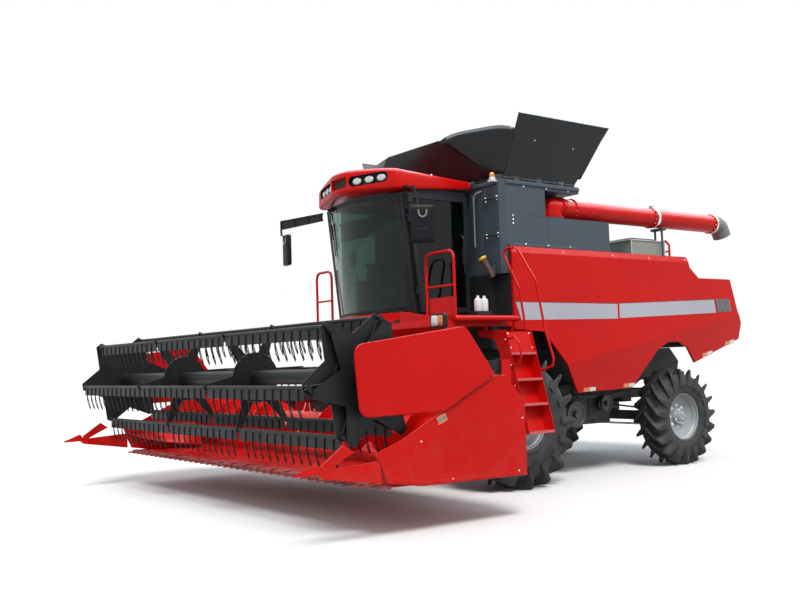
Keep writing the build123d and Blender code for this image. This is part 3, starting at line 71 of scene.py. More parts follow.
# ---------------------------------------------------------------- materials
class Shader:
    """A material with its Principled shader and short ways to add nodes to it."""

    def __init__(self, name, colour, roughness, metallic=0.0):
        self.material = bpy.data.materials.new(name)
        self.material.use_nodes = True
        self.tree = self.material.node_tree
        self.bsdf = self.tree.nodes["Principled BSDF"]
        self.set("Base Color", (*colour, 1))
        self.set("Roughness", roughness)
        self.set("Metallic", metallic)
        self.material.diffuse_color = (*colour, 1)
        self.where = self.node("ShaderNodeTexCoord").outputs["Object"]

    def node(self, kind, **values):
        node = self.tree.nodes.new(kind)
        for key, value in values.items():
            setattr(node, key, value)
        return node

    def link(self, a, b):
        self.tree.links.new(a, b)

    def set(self, socket, value):
        self.bsdf.inputs[socket].default_value = value

    def noise(self, scale, detail=3.0, stretch=(1, 1, 1)):
        """Noise over object coordinates, from 0 to 1."""
        mapping = self.node("ShaderNodeMapping")
        mapping.inputs["Scale"].default_value = stretch
        self.link(self.where, mapping.inputs["Vector"])
        noise = self.node("ShaderNodeTexNoise")
        noise.inputs["Scale"].default_value = scale
        noise.inputs["Detail"].default_value = detail
        self.link(mapping.outputs["Vector"], noise.inputs["Vector"])
        return noise.outputs["Fac"]

    def spread(self, value, low, high, out_low=0.0, out_high=1.0):
        """Maps value from low..high to out_low..out_high, clamped."""
        ramp = self.node("ShaderNodeMapRange")
        for index, number in enumerate((low, high, out_low, out_high)):
            ramp.inputs[index + 1].default_value = number
        self.link(value, ramp.inputs["Value"])
        return ramp.outputs["Result"]

    def times(self, a, b):
        node = self.node("ShaderNodeMath", operation="MULTIPLY")
        self.link(a, node.inputs[0])
        if isinstance(b, (int, float)):
            node.inputs[1].default_value = b
        else:
            self.link(b, node.inputs[1])
        return node.outputs["Value"]

    def height(self):
        split = self.node("ShaderNodeSeparateXYZ")
        self.link(self.where, split.inputs["Vector"])
        return split.outputs["Z"]

    def tint(self, factor, colour):
        """Mixes another colour over what feeds the base colour, by factor."""
        base = self.bsdf.inputs["Base Color"]
        mix = self.node("ShaderNodeMix", data_type="RGBA")
        self.link(factor, mix.inputs["Factor"])
        if base.is_linked:
            self.link(base.links[0].from_socket, mix.inputs["A"])
        else:
            mix.inputs["A"].default_value = base.default_value
        mix.inputs["B"].default_value = (*colour, 1)
        self.link(mix.outputs["Result"], base)

    def rough(self, factor, low, high):
        self.link(self.spread(factor, 0.3, 0.7, low, high), self.bsdf.inputs["Roughness"])

    def bump(self, height, distance, strength=0.3):
        node = self.node("ShaderNodeBump")
        node.inputs["Strength"].default_value = strength
        node.inputs["Distance"].default_value = distance
        self.link(height, node.inputs["Height"])
        normal = self.bsdf.inputs["Normal"]
        if normal.is_linked:
            self.link(normal.links[0].from_socket, node.inputs["Normal"])
        self.link(node.outputs["Normal"], normal)


DUST = (0.32, 0.27, 0.21)


def paint(name, colour, roughness, coat=0.0, waviness=0.002, dust=0.10, shade=0.8, spec=0.5):
    """Sprayed sheet metal: slow waves in the sheet, orange peel, and dust towards the ground."""
    s = Shader(name, colour, roughness)
    s.set("Specular IOR Level", spec)
    s.set("Coat Weight", coat)
    s.set("Coat Roughness", 0.06)
    s.tint(s.spread(s.noise(0.9, 2), 0.35, 0.75, 0.0, 0.5), [c * shade for c in colour])
    low = s.spread(s.height(), 1.3, 0.2)
    s.tint(s.times(s.times(low, s.spread(s.noise(7, 6), 0.35, 0.7)), dust), DUST)
    s.rough(s.noise(3.1, 4), roughness - 0.05, roughness + 0.07)
    s.bump(s.noise(1.7, 1), waviness, 0.6)
    s.bump(s.noise(420, 2), 0.0002, 0.25)
    return s.material


def rubber(name, colour, dust=0.35):
    """Moulded rubber with mould haze and dried dust in its hollows."""
    s = Shader(name, colour, 0.8)
    s.tint(s.times(s.spread(s.noise(5, 7), 0.42, 0.72), dust), (0.12, 0.105, 0.09))
    s.tint(s.times(s.spread(s.noise(38, 5), 0.5, 0.75), dust * 0.6), (0.10, 0.095, 0.085))
    s.rough(s.noise(12, 4), 0.62, 0.9)
    s.bump(s.noise(260, 3), 0.0006, 0.4)
    return s.material


def plastic(name, colour, roughness=0.55, grain=600, spec=0.5):
    s = Shader(name, colour, roughness)
    s.set("Specular IOR Level", spec)
    s.tint(s.spread(s.noise(4, 4), 0.4, 0.8, 0.0, 0.3), [min(1, c * 1.6 + 0.01) for c in colour])
    s.rough(s.noise(20, 3), roughness - 0.06, roughness + 0.08)
    s.bump(s.noise(grain, 2), 0.0003, 0.4)
    return s.material


def metal(name, colour, roughness, stretch=(1, 1, 1), grime=0.25):
    s = Shader(name, colour, roughness, metallic=1.0)
    s.tint(s.times(s.spread(s.noise(9, 5), 0.45, 0.75), grime), [c * 0.35 for c in colour])
    s.rough(s.noise(60, 4, stretch), roughness - 0.06, roughness + 0.12)
    s.bump(s.noise(180, 3, stretch), 0.0002, 0.4)
    return s.material


def glass(name, colour, roughness=0.0):
    s = Shader(name, colour, roughness)
    s.set("Transmission Weight", 1.0)
    s.set("IOR", 1.32)
    s.rough(s.noise(2.5, 3), 0.0, 0.012)
    return s.material


def lamp_glass(name, colour, roughness=0.08):
    s = Shader(name, colour, roughness)
    s.set("Coat Weight", 1.0)
    s.tint(s.spread(s.noise(90, 1), 0.4, 0.6, 0, 0.5), [c * 0.5 for c in colour])
    s.bump(s.noise(150, 1), 0.001, 0.4)
    return s.material


def woven(name, colour):
    s = Shader(name, colour, 0.85)
    s.set("Sheen Weight", 0.4)
    wave = s.node("ShaderNodeTexWave", wave_type="BANDS", bands_direction="DIAGONAL")
    wave.inputs["Scale"].default_value = 160
    s.link(s.where, wave.inputs["Vector"])
    s.tint(s.spread(wave.outputs["Fac"], 0.2, 0.9, 0, 0.6), [c * 1.9 for c in colour])
    s.bump(wave.outputs["Fac"], 0.0008, 0.6)
    return s.material


MATERIALS = {
    "body_red": paint("body red", (0.66, 0.006, 0.004), 0.30, spec=0.13),
    "tank_grey": paint("tank grey", (0.060, 0.082, 0.100), 0.42, spec=0.25),
    "flap_black": paint("flap black", (0.010, 0.012, 0.014), 0.22, dust=0.02, spec=0.25),
    "chassis_grey": paint("chassis grey", (0.016, 0.017, 0.019), 0.5, dust=0.3, spec=0.3),
    "reel_black": paint("reel black", (0.009, 0.010, 0.011), 0.42, dust=0.05, spec=0.25),
    "rim_silver": paint("rim silver", (0.34, 0.36, 0.37), 0.40, dust=0.15, spec=0.4),
    "trim_black": plastic("trim black", (0.008, 0.009, 0.011), spec=0.25),
    "tyre": rubber("tyre rubber", (0.009, 0.009, 0.010), dust=0.22),
    "spout_rubber": rubber("spout rubber", (0.20, 0.21, 0.22), dust=0.15),
    "bright_steel": metal("bright steel", (0.62, 0.62, 0.64), 0.22, (1, 12, 1)),
    "knife_steel": metal("knife steel", (0.36, 0.36, 0.37), 0.42),
    "cast_block": metal("cast block", (0.10, 0.10, 0.10), 0.6),
    "cab_glass": glass("cab glass", (0.10, 0.20, 0.17)),
    "lamp_lens": lamp_glass("lamp lens", (0.82, 0.82, 0.78)),
    "seat_fabric": woven("seat fabric", (0.035, 0.035, 0.04)),
}
STRIPE = paint("stripe silver", (0.50, 0.50, 0.56), 0.38, dust=0.0, spec=0.3)
GUARD_RED = paint("guard red", (0.42, 0.035, 0.040), 0.5, dust=0.6, spec=0.3)
SEAM_BLACK = plastic("seam black", (0.004, 0.004, 0.004), 0.7)
AMBER = lamp_glass("amber lens", (0.85, 0.22, 0.01))
WHITE_LENS = lamp_glass("white lens", (0.86, 0.86, 0.82))
CREAM = paint("cream paint", (0.62, 0.60, 0.50), 0.5, dust=0.1)
PALE_GREEN = paint("pale green grey", (0.30, 0.33, 0.28), 0.5, dust=0.1)
WHITE_PLASTIC = plastic("white plastic", (0.78, 0.78, 0.76), 0.5)
YELLOW = plastic("yellow cap", (0.75, 0.48, 0.02), 0.45)
BROWN = rubber("brown hose", (0.10, 0.045, 0.03), dust=0.1)
MIRROR_BLACK = plastic("mirror black", (0.006, 0.007, 0.009), 0.45, spec=0.12)
# Pale blue that stands for the thin bright highlight line along the side flap's top edge: a painted
# highlight.
PAINTED_HIGHLIGHT_BLUE = paint("painted highlight blue", (0.35, 0.52, 0.58), 0.4, 0.0)
ZINC = metal("zinc bolts", (0.72, 0.72, 0.70), 0.35)
DARK_STEEL = metal("dark steel", (0.08, 0.08, 0.085), 0.5)
HOSE = rubber("hose rubber", (0.012, 0.012, 0.012), dust=0.15)
DULL_GREY = plastic("dull grey", (0.22, 0.21, 0.19), 0.5)
# A pinker, lighter copy of the body red that stands for the sky's light on upward faces: painted light, used
# on the step edges and the auger fingers.
SKY_LIT_RED = paint("painted sky lit red", (0.66, 0.10, 0.11), 0.35, dust=0.0, spec=0.5)

for name, node in NODES.items():
    node.data.materials.clear()
    node.data.materials.append(GUARD_RED if name == "cutter_bar" else MATERIALS[SLOTS[name]])


# ---------------------------------------------------------------- mesh tools
def place(a, y, z):
    """A point given ahead of the front axle, left and up."""
    return Vector((AXLE_X + a, y, z))


def across(direction):
    """Two unit vectors square to a direction."""
    direction = direction.normalized()
    other = Vector((0, 0, 1)) if abs(direction.z) < 0.9 else Vector((1, 0, 0))
    u = direction.cross(other).normalized()
    return u, direction.cross(u).normalized()


def around(count, phase=0.0):
    """Angles evenly spaced round a circle, in radians."""
    return [2 * math.pi * (k + phase) / count for k in range(count)]


def upright(t, radius=1.0):
    """Vector at an angle in the frame's XZ plane."""
    return Vector((radius * math.cos(t), 0, radius * math.sin(t)))


def bend(start, corner, end, steps):
    """Points on the curve that rounds a corner."""
    return [start * (1 - t) ** 2 + corner * (2 * t * (1 - t)) + end * t ** 2
            for t in (k / steps for k in range(steps + 1))]


def axes(x_dir, z_dir):
    """Unit vectors square to each other: z along z_dir, and x as near to x_dir as it can be."""
    z = Vector(z_dir).normalized()
    x = (Vector(x_dir) - z * Vector(x_dir).dot(z)).normalized()
    return x, z.cross(x), z


def apply_modifiers(thing):
    """Leaves the mesh as its modifiers shape it."""
    bpy.context.view_layer.update()
    mesh = bpy.data.meshes.new_from_object(thing.evaluated_get(bpy.context.evaluated_depsgraph_get()))
    thing.modifiers.clear()
    thing.data = mesh


def thicken(thing, thickness):
    """Gives an open sheet its thickness."""
    thing.modifiers.new("thickness", "SOLIDIFY").thickness = thickness
    apply_modifiers(thing)


def soften(thing, width, segments, degrees):
    """Bevels the edges that turn by more than an angle."""
    modifier = thing.modifiers.new("bevel", "BEVEL")
    modifier.width = width
    modifier.segments = segments
    modifier.limit_method = "ANGLE"
    modifier.angle_limit = math.radians(degrees)


class Form:
    """A mesh under construction. box, plate and rod take places (ahead, left, up), the rest take points."""

    def __init__(self):
        self.mesh = bmesh.new()

    def ring(self, points):
        return [self.mesh.verts.new(point) for point in points]

    def cap(self, ring):
        self.mesh.faces.new(ring)

    def join(self, one, two, closed=True):
        """Quads between two rows of vertices."""
        count = len(one)
        for i in range(count if closed else count - 1):
            j = (i + 1) % count
            self.mesh.faces.new((one[i], one[j], two[j], two[i]))

    def skin(self, rings, closed=True, caps=True, loop=False):
        """Surface through rings of points."""
        rows = [self.ring(points) for points in rings]
        for one, two in zip(rows, rows[1:]):
            self.join(one, two, closed)
        if loop:
            self.join(rows[-1], rows[0], closed)
        elif caps:
            self.cap(rows[0][::-1])
            self.cap(rows[-1])

    def prism(self, points, along):
        """Closed outline pushed along a vector."""
        along = Vector(along)
        self.skin([[Vector(p) for p in points], [Vector(p) + along for p in points]])

    def block(self, low, high):
        low, high = [min(a, b) for a, b in zip(low, high)], [max(a, b) for a, b in zip(low, high)]
        base = [(low[0], low[1], low[2]), (high[0], low[1], low[2]), (high[0], high[1], low[2]),
                (low[0], high[1], low[2])]
        self.prism(base, (0, 0, high[2] - low[2]))

    def box(self, low, high):
        self.block(place(*low), place(*high))

    def plate(self, places, along):
        self.prism([place(*p) for p in places], along)

    def rod(self, places, radius, sides, corner=0.0):
        """Tube through places, with its bends rounded if asked."""
        points = [place(*p) for p in places]
        self.tube(rounded(points, corner) if corner else points, radius, sides)

    def slab(self, centre, size, x_dir, z_dir):
        """Box with its sides along chosen directions."""
        centre = Vector(centre)
        x, y, z = axes(x_dir, z_dir)
        base = [centre + x * (sx * size[0] / 2) + y * (sy * size[1] / 2) - z * (size[2] / 2)
                for sx, sy in ((-1, -1), (1, -1), (1, 1), (-1, 1))]
        self.prism(base, z * size[2])

    def tube(self, points, radius, sides=10, caps=True, closed=False):
        """Round tube along points; radius may be a list."""
        points = [Vector(p) for p in points]
        radii = radius if isinstance(radius, (list, tuple)) else [radius] * len(points)
        count = len(points)
        rings, u = [], None
        for i, point in enumerate(points):
            if closed:
                way = points[(i + 1) % count] - points[i - 1]
            else:
                way = points[min(i + 1, count - 1)] - points[max(i - 1, 0)]
            way.normalize()
            if u is None:
                u = across(way)[0]
            u = (u - way * u.dot(way)).normalized()
            v = way.cross(u)
            rings.append([point + (u * math.cos(t) + v * math.sin(t)) * radii[i] for t in around(sides)])
        self.skin(rings, caps=caps, loop=closed)

    def turn(self, profile, origin, axis, sides=32, closed=False):
        """Body turned about an axis from (along, radius) pairs; radius 0 closes an end."""
        origin, axis = Vector(origin), Vector(axis).normalized()
        u, v = across(axis)
        rows = []
        for along, radius in profile:
            centre = origin + axis * along
            if radius < 1e-6:
                rows.append(self.ring([centre]))
            else:
                rows.append(self.ring([centre + (u * math.cos(t) + v * math.sin(t)) * radius
                                       for t in around(sides)]))
        pairs = list(zip(rows, rows[1:]))
        if closed:
            pairs.append((rows[-1], rows[0]))
        for one, two in pairs:
            if len(one) == 1 and len(two) == 1:
                continue
            if len(one) == 1:
                for i in range(sides):
                    self.mesh.faces.new((one[0], two[(i + 1) % sides], two[i]))
            elif len(two) == 1:
                for i in range(sides):
                    self.mesh.faces.new((one[i], one[(i + 1) % sides], two[0]))
            else:
                self.join(one, two)

    def bolt(self, at, normal, size=0.012, washer=True):
        """Hexagon head on a washer."""
        at, normal = Vector(at), Vector(normal).normalized()
        if washer:
            self.turn([(-0.001, 0), (-0.001, size * 1.15), (0.002, size * 1.15), (0.002, 0)], at, normal, 16)
        head = [(0, 0), (0, size * 0.8), (size * 0.7, size * 0.8), (size * 0.85, size * 0.6),
                (size * 0.85, 0)]
        self.turn(head, at, normal, 6)

    def make(self, name):
        """Object from the mesh."""
        bmesh.ops.recalc_face_normals(self.mesh, faces=self.mesh.faces)
        data = bpy.data.meshes.new(name)
        self.mesh.to_mesh(data)
        self.mesh.free()
        thing = bpy.data.objects.new(name, data)
        bpy.context.scene.collection.objects.link(thing)
        return thing

    def done(self, name, body, slot, material=None, bevel=0.0, smooth=35, subdivide=0, replaces=()):
        """Object riding on a body, in its slot's own material unless another is given."""
        thing = self.make(name)
        data = thing.data
        data.materials.append(material or MATERIALS[slot])
        for face in data.polygons:
            face.use_smooth = smooth > 0
        if smooth > 0:
            data.set_sharp_from_angle(angle=math.radians(smooth))
        if bevel:
            soften(thing, bevel, 2, 35)
        if subdivide:
            modifier = thing.modifiers.new("subdivision", "SUBSURF")
            modifier.levels = modifier.render_levels = subdivide
        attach(thing, body)
        if replaces:
            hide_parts(*replaces)
        return thing


def arc(centre, radius, start, end, steps, plane="xz"):
    """Points on an arc, in degrees, in a plane of the frame."""
    points = []
    for k in range(steps + 1):
        t = math.radians(start + (end - start) * k / steps)
        c, s = radius * math.cos(t), radius * math.sin(t)
        offset = {"xz": (c, 0, s), "xy": (c, s, 0), "yz": (0, c, s)}[plane]
        points.append(Vector(centre) + Vector(offset))
    return points


def rounded(points, radius, steps=4):
    """Open line with its bends rounded."""
    points = [Vector(p) for p in points]
    path = [points[0]]
    for before, corner, after in zip(points, points[1:-1], points[2:]):
        one, two = before - corner, after - corner
        reach = min(radius, one.length * 0.45, two.length * 0.45)
        path += bend(corner + one.normalized() * reach, corner, corner + two.normalized() * reach, steps)
    return path + [points[-1]]


# ---------------------------------------------------------------- wheels
# radius, width, rim and lug in metres; lugs in a row; sweep, the degrees that a lug turns through
WHEELS = {
    "front": dict(radius=0.800, width=0.580, rim=0.335, lug=0.098, lugs=16, sweep=21, bolts=10),
    "rear": dict(radius=0.675, width=0.400, rim=0.325, lug=0.076, lugs=19, sweep=19, bolts=8),
}


def make_tyre(form, hub, side, w):
    """Rounded casing with tall curved bars that run down onto the shoulders."""
    half, rim = w["width"] / 2, w["rim"]
    tread = w["radius"] - w["lug"]
    wall = [(0.80, rim), (0.87, rim + 0.012), (0.90, rim + 0.030), (0.895, rim + 0.036), (0.955, rim + 0.075),
            (0.99, (rim + tread) / 2 - 0.03), (0.985, (rim + tread) / 2 + 0.03), (0.94, tread - 0.075),
            (0.87, tread - 0.030), (0.76, tread - 0.008), (0.40, tread + 0.004)]
    outer = [(u * half, r) for u, r in wall]
    casing = [(-x, r) for x, r in outer] + [(0, tread + 0.006)] + outer[::-1]
    form.turn(casing, hub, (0, side, 0), 96, closed=True)
    crest, foot = 0.016, 0.040  # half widths of a bar at its top and root
    corner = 0.019  # from a bar's middle line to its furthest corner
    swept = w["radius"] * math.sin(math.radians(w["sweep"] / 2))
    high = math.sqrt(w["radius"] ** 2 - (swept + corner) ** 2)
    first = math.degrees(math.atan2(swept + corner, high)) - 90
    # how far along the bar, drop of its top and depth of its root under the tread
    stations = [(0.0, 0.004, 0.02), (0.03, 0.0, 0.02), (0.22, 0.0, 0.02), (0.42, 0.0, 0.02),
                (0.62, 0.0, 0.02), (0.80, 0.0, 0.03), (0.90, 0.0, 0.06), (0.985, 0.004, 0.10),
                (1.035, 0.022, 0.14), (1.045, 0.090, 0.17)]
    for row in (1, -1):
        for i in range(w["lugs"]):
            start = math.radians(first + 360 / w["lugs"] * (i + (0.5 if row < 0 else 0)))
            rings = []
            for t, drop, sink in stations:
                a = start + math.asin(max(-1, min(1, swept * (1 - 2 * t ** 0.85) / w["radius"])))
                radial = upright(a)
                tangent = Vector((-math.sin(a), 0, math.cos(a)))
                y = side * row * (-0.012 + t * (half + 0.012))
                top, root = w["radius"] - 0.0013 - drop, tread - sink
                wide = 1 + 0.25 * t
                section = [(root, -foot * wide), (top - 0.008, -crest * wide), (top, -crest * wide + 0.006),
                           (top, crest * wide - 0.006), (top - 0.008, crest * wide), (root, foot * wide)]
                rings.append([hub + radial * r + tangent * s + Vector((0, y, 0)) for r, s in section])
            form.skin(rings)


def make_rim(form, hub, side, w):
    """Welded wheel: drum with a rolled lip, deep cone and a bolted centre disc."""
    edge, drum = w["width"] / 2 * 0.8, w["rim"]
    out = [(edge, drum), (edge + 0.001, drum - 0.006), (edge - 0.004, drum - 0.014),
           (edge - 0.014, drum - 0.017), (edge - 0.030, drum - 0.020), (edge - 0.042, drum - 0.034),
           (edge - 0.060, drum - 0.042), (0.085, drum - 0.048), (0.068, drum - 0.056),
           (0.055, drum - 0.085), (0.040, 0.215), (0.033, 0.190), (0.033, 0.118), (0.050, 0.112),
           (0.074, 0.110), (0.080, 0.100), (0.080, 0.066), (0.098, 0.060), (0.104, 0.050), (0.104, 0)]
    back = [(-0.07, 0), (-0.07, 0.11), (-0.012, 0.112), (-0.012, 0.19), (0.02, drum - 0.05),
            (0.02, drum - 0.046), (-edge + 0.060, drum - 0.042), (-edge + 0.030, drum - 0.022),
            (-edge, drum - 0.014), (-edge, drum)]
    form.turn(back + out, hub, (0, side, 0), 96)


def make_wheel(position, hand, side):
    w = WHEELS[position]
    hub = middle(f"{position}_rim_{hand}")
    hub.z = w["radius"]
    body = f"{position}_wheel_{hand}"
    form = Form()
    make_tyre(form, hub, side, w)
    form.done(f"{position}_tyre_{hand}_moulded", body, "tyre", smooth=38,
              replaces=(f"{position}_tyre_{hand}",))
    form = Form()
    make_rim(form, hub, side, w)
    form.done(f"{position}_rim_{hand}_spun", body, "rim_silver", smooth=30,
              replaces=(f"{position}_rim_{hand}",))
    form = Form()
    for angles, radius, out, size in ((around(w["bolts"]), 0.155, 0.033, 0.019),
                                      (around(6, 0.5), 0.088, 0.080, 0.010)):
        for t in angles:
            form.bolt(hub + upright(t, radius) + Vector((0, side * out, 0)), (0, side, 0), size)
    form.done(f"{position}_wheel_bolts_{hand}", body, "bright_steel", ZINC)
    form = Form()
    for t in around(w["bolts"], 0.5):
        spot = hub + upright(t, 0.262) + Vector((0, side * 0.0475, 0))
        form.turn([(0, 0), (0, 0.017), (0.006, 0.014), (0.006, 0)], spot, (0, side, 0), 16)
    form.done(f"{position}_rim_holes_{hand}", body, "trim_black", SEAM_BLACK)


for position in WHEELS:
    for hand, side in SIDES:
        make_wheel(position, hand, side)

# ---------------------------------------------------------------- side panels
PANEL_Y = 1.470
CREASE_AT, CREASE_RISE, CREASE_LEAN = (-0.910, 1.480), 0.1675, math.tan(math.radians(11))
CREASE_SLANT = 0.986  # the crease climbs to the rear, so upright distances shrink square to it
BEVEL_Z, BEVEL_LEAN = 2.870, 25 / 80


def skin_y(a, z):
    """How far out the side panel's face is at a place."""
    crease = CREASE_AT[1] + (CREASE_AT[0] - a) * CREASE_RISE
    if z < crease:
        return PANEL_Y - CREASE_LEAN * (crease - z) * CREASE_SLANT
    return PANEL_Y - max(0, z - BEVEL_Z) * BEVEL_LEAN


def on_skin(a, z, side, proud=0.0):
    return place(a, side * (skin_y(a, z) + proud), z)


def skin_patch(form, outline, side, proud=0.0015):
    """Thin plate that lies on the side panel."""
    base = [on_skin(a, z, side, -0.001) for a, z in outline]
    form.prism(base, (0, side * (proud + 0.001), 0))


def grille_place(corner, other, t):
    """A share t of the way between two corners of the grille."""
    return [a + (b - a) * t for a, b in zip(GRILLE[corner], GRILLE[other])]


def strips(form, side, start, end, proud):
    """A strip in each pitch of the grille, from start to end of the pitch."""
    for k in range(PITCHES):
        t, u = (k + start) / PITCHES, (k + end) / PITCHES
        outline = [grille_place(0, 1, t), grille_place(0, 1, u), grille_place(3, 2, u), grille_place(3, 2, t)]
        skin_patch(form, outline, side, proud)


STRIPES = [[(-0.020, 2.255), (-1.885, 2.253), (-1.885, 2.056), (-0.108, 2.036)],
           [(-1.925, 2.257), (-4.030, 2.341), (-4.064, 2.148), (-1.925, 2.063)]]
GRILLE = [(-4.054, 2.345), (-4.401, 2.356), (-4.435, 2.172), (-4.090, 2.155)]
SEAMS = [[(-1.902, 2.945), (-1.908, 2.945), (-1.908, 1.16), (-1.902, 1.16)],
         [(-0.560, 1.930), (-0.566, 1.930), (-0.566, 1.86), (-0.560, 1.86)]]
PITCHES = 11  # of the grille
REFLECTORS = [(-1.24, 1.106, 1.157), (-2.05, 1.128, 1.180), (-3.80, 1.495, 1.556), (-4.34, 1.655, 1.715)]
for hand, side in SIDES:
    form = Form()
    for outline in STRIPES:
        skin_patch(form, outline, side)
    form.done(f"stripe_{hand}", "root", "rim_silver", STRIPE, smooth=0)
    form = Form()
    for low, high in (((-0.020, 2.262), (-1.885, 2.260)), ((-1.925, 2.264), (-4.030, 2.348))):
        skin_patch(form, [low, high, (high[0], high[1] - 0.006), (low[0], low[1] - 0.006)], side)
    for outline in SEAMS:
        skin_patch(form, outline, side, 0.0008)
    strips(form, side, 0.15, 0.60, 0.001)
    form.done(f"panel_seams_{hand}", "root", "trim_black", SEAM_BLACK, smooth=0)
    form = Form()
    strips(form, side, 0.62, 0.86, 0.006)
    form.done(f"louvres_{hand}", "root", "rim_silver", STRIPE, smooth=0)
    for part, start, end, material in (("amber", 0.0, 0.115, AMBER), ("white", 0.120, 0.235, WHITE_LENS)):
        form = Form()
        for a, low, high in REFLECTORS:
            rise = CREASE_RISE if a < -3 else 0.02
            outline = [(a - start, low + start * rise), (a - end, low + end * rise),
                       (a - end, high + end * rise), (a - start, high + start * rise)]
            skin_patch(form, outline, side, 0.004)
        form.done(f"reflectors_{part}_{hand}", "root", "lamp_lens", material, bevel=0.001, smooth=0)

# ---------------------------------------------------------------- tank
FLAP_HINGE = (1.380, 3.810)  # side flap's hinge: left and height
FLAP_TIP = (1.690, 4.560)
END_TIPS = {"front": (0.070, 0.360, 4.400), "rear": (-1.290, -1.560, 4.390)}
FAN_EDGE = {"front": (0.030, 0.010), "rear": (-1.240, -1.620)}
FAN_ROWS, FAN_COLUMNS = 10, 12
FAN_REACH = 0.76  # how far up the side flap's edge a corner sheet ends


def fan_half(name, edge, fold, arch, body):
    """Part of a corner sheet, from a flap's edge to the fold line, with an arched top."""
    rows = []
    for i in range(FAN_ROWS + 1):
        v = i / FAN_ROWS
        start = edge[0].lerp(edge[1], v)
        end = fold[0].lerp(fold[1], v)
        rows.append([start.lerp(end, j / FAN_COLUMNS) + arch * (v * v * (1 - (2 * j / FAN_COLUMNS - 1) ** 4))
                     for j in range(FAN_COLUMNS + 1)])
    form = Form()
    form.skin(rows, closed=False, caps=False)
    thing = form.done(name, body, "flap_black", smooth=80)
    thing.data.update()
    thicken(thing, 0.004)
    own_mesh(thing)


for hand, side in SIDES:
    for end in ("front", "rear"):
        hinge_a, tip_a, tip_z = END_TIPS[end]
        low_a, high_a = FAN_EDGE[end]
        outward = 1 if end == "front" else -1
        foot_end = place(hinge_a, side * 1.270, FLAP_HINGE[1] + 0.012)
        foot_side = place(low_a, side * FLAP_HINGE[0], FLAP_HINGE[1] + 0.012)
        top_end = place(tip_a, side * 0.575, tip_z - 0.010)
        foot_end = foot_end.lerp(top_end, 0.08 if end == "front" else 0.22)
        top_side = foot_side.lerp(place(high_a, side * FLAP_TIP[0], FLAP_TIP[1]), FAN_REACH)
        foot_side = foot_side.lerp(top_side, 0.05 if end == "front" else 0.15)
        fold_foot = foot_side + Vector((outward * 0.05, 0, -0.006))
        fold = (fold_foot, top_side + Vector((outward * 0.004, 0, 0)))
        lift = 0.075 if side > 0 else 0.010
        arch = Vector((outward * 0.1, side * 0.03, 1)) * lift
        name = f"corner_sheet_{end}_{hand}"
        fan_half(f"{name}_a", (foot_end, top_end), fold, arch, f"flap_{end}")
        fan_half(f"{name}_b", (foot_side, top_side), fold, Vector((0, 0, 0)), f"flap_{hand}")

# Thin tube along the near side flap's top edge, in pale blue: a painted highlight line.
form = Form()
form.rod([(FAN_EDGE[end][1], FLAP_TIP[0], FLAP_TIP[1] - 0.004) for end in ("front", "rear")], 0.005, 8)
form.done("flap_edge_painted_highlight", "flap_left", "flap_black", PAINTED_HIGHLIGHT_BLUE, smooth=60)
form = Form()
hinge, tip = Vector((0, *FLAP_HINGE)), Vector((0, *FLAP_TIP))
outward = Vector((0, 0.92, -0.38))
for a, t in ((-0.35, 0.62), (-1.05, 0.58)):
    spot = hinge.lerp(tip, t)
    form.bolt(place(a, spot.y, spot.z) + outward * 0.004, outward, 0.010)
form.done("flap_left_bolts", "flap_left", "bright_steel", ZINC)

form = Form()
for y, z in ((1.310, 3.56), (1.100, 3.56), (1.310, 3.10), (1.100, 3.10)):
    for rise in (0.02, -0.02):
        form.bolt(place(0.080, y, z + rise), (1, 0, 0), 0.012)
for z in (3.34, 3.29, 3.24):
    form.bolt(place(-0.10, 1.400, z), (0, 1, 0), 0.009)
for a in (-0.30, -0.70, -1.10):
    for z in (3.72, 2.99):
        form.bolt(place(a, 1.400, z), (0, 1, 0), 0.009)
        form.bolt(place(a, -1.400, z), (0, -1, 0), 0.009)
form.done("tank_bolts", "root", "bright_steel", ZINC)

form = Form()
for z in (3.56, 3.10):
    form.rod([(0.088, 1.085, z), (0.112, 1.11, z), (0.112, 1.29, z), (0.088, 1.325, z)], 0.009, 10)
form.done("tank_hand_bars", "root", "trim_black", smooth=60)

form = Form()
for side in (1, -1):
    form.box((-0.700, side * 1.399, 2.96), (-0.706, side * 1.4008, 3.34))
    form.box((-0.36, side * 1.399, 3.352), (-1.29, side * 1.4008, 3.358))
for y in (-0.7, 0.0, 0.7):
    form.box((0.0795, y, 2.7), (0.0808, y + 0.006, 3.72))
form.done("tank_seams", "root", "trim_black", SEAM_BLACK, smooth=0)

form = Form()
for side in (1, -1):
    form.box((0.02, side * 1.400, 3.735), (-1.30, side * 1.418, 3.775))
    form.box((0.0, side * 1.400, 2.955), (-1.29, side * 1.425, 2.985))
form.box((0.080, -1.33, 3.735), (0.098, 1.33, 3.775))
form.done("tank_rims", "root", "tank_grey", bevel=0.004, smooth=0)

form = Form()
form.rod([(0.14, 0.945, 2.98), (0.14, 0.945, 3.62), (0.13, 0.98, 3.66), (0.085, 1.04, 3.68)], 0.010, 12)
form.done("drain_pipe", "root", "spout_rubber", DULL_GREY, smooth=60)

form = Form()
form.rod([(0.12, 1.235, 2.58), (0.17, 1.20, 2.70), (0.215, 1.165, 2.80)], [0.035, 0.036, 0.045], 20)
form.done("filler_neck", "root", "spout_rubber", BROWN, smooth=60)
form = Form()
way = Vector((0.045, -0.035, 0.10)).normalized()
form.turn([(0, 0), (0, 0.050), (0.006, 0.054), (0.026, 0.054), (0.032, 0.050), (0.036, 0.030), (0.036, 0)],
          place(0.215, 1.165, 2.80), way, 24)
form.done("filler_cap", "root", "lamp_lens", YELLOW, smooth=40)
form = Form()
form.slab(place(0.125, 1.23, 2.66), (0.09, 0.12, 0.01), (0, 1, 0), (1, 0, 0.2))
form.box((0.08, 1.21, 2.62), (0.13, 1.25, 2.65))
form.done("filler_bracket", "root", "tank_grey", bevel=0.002, smooth=0)

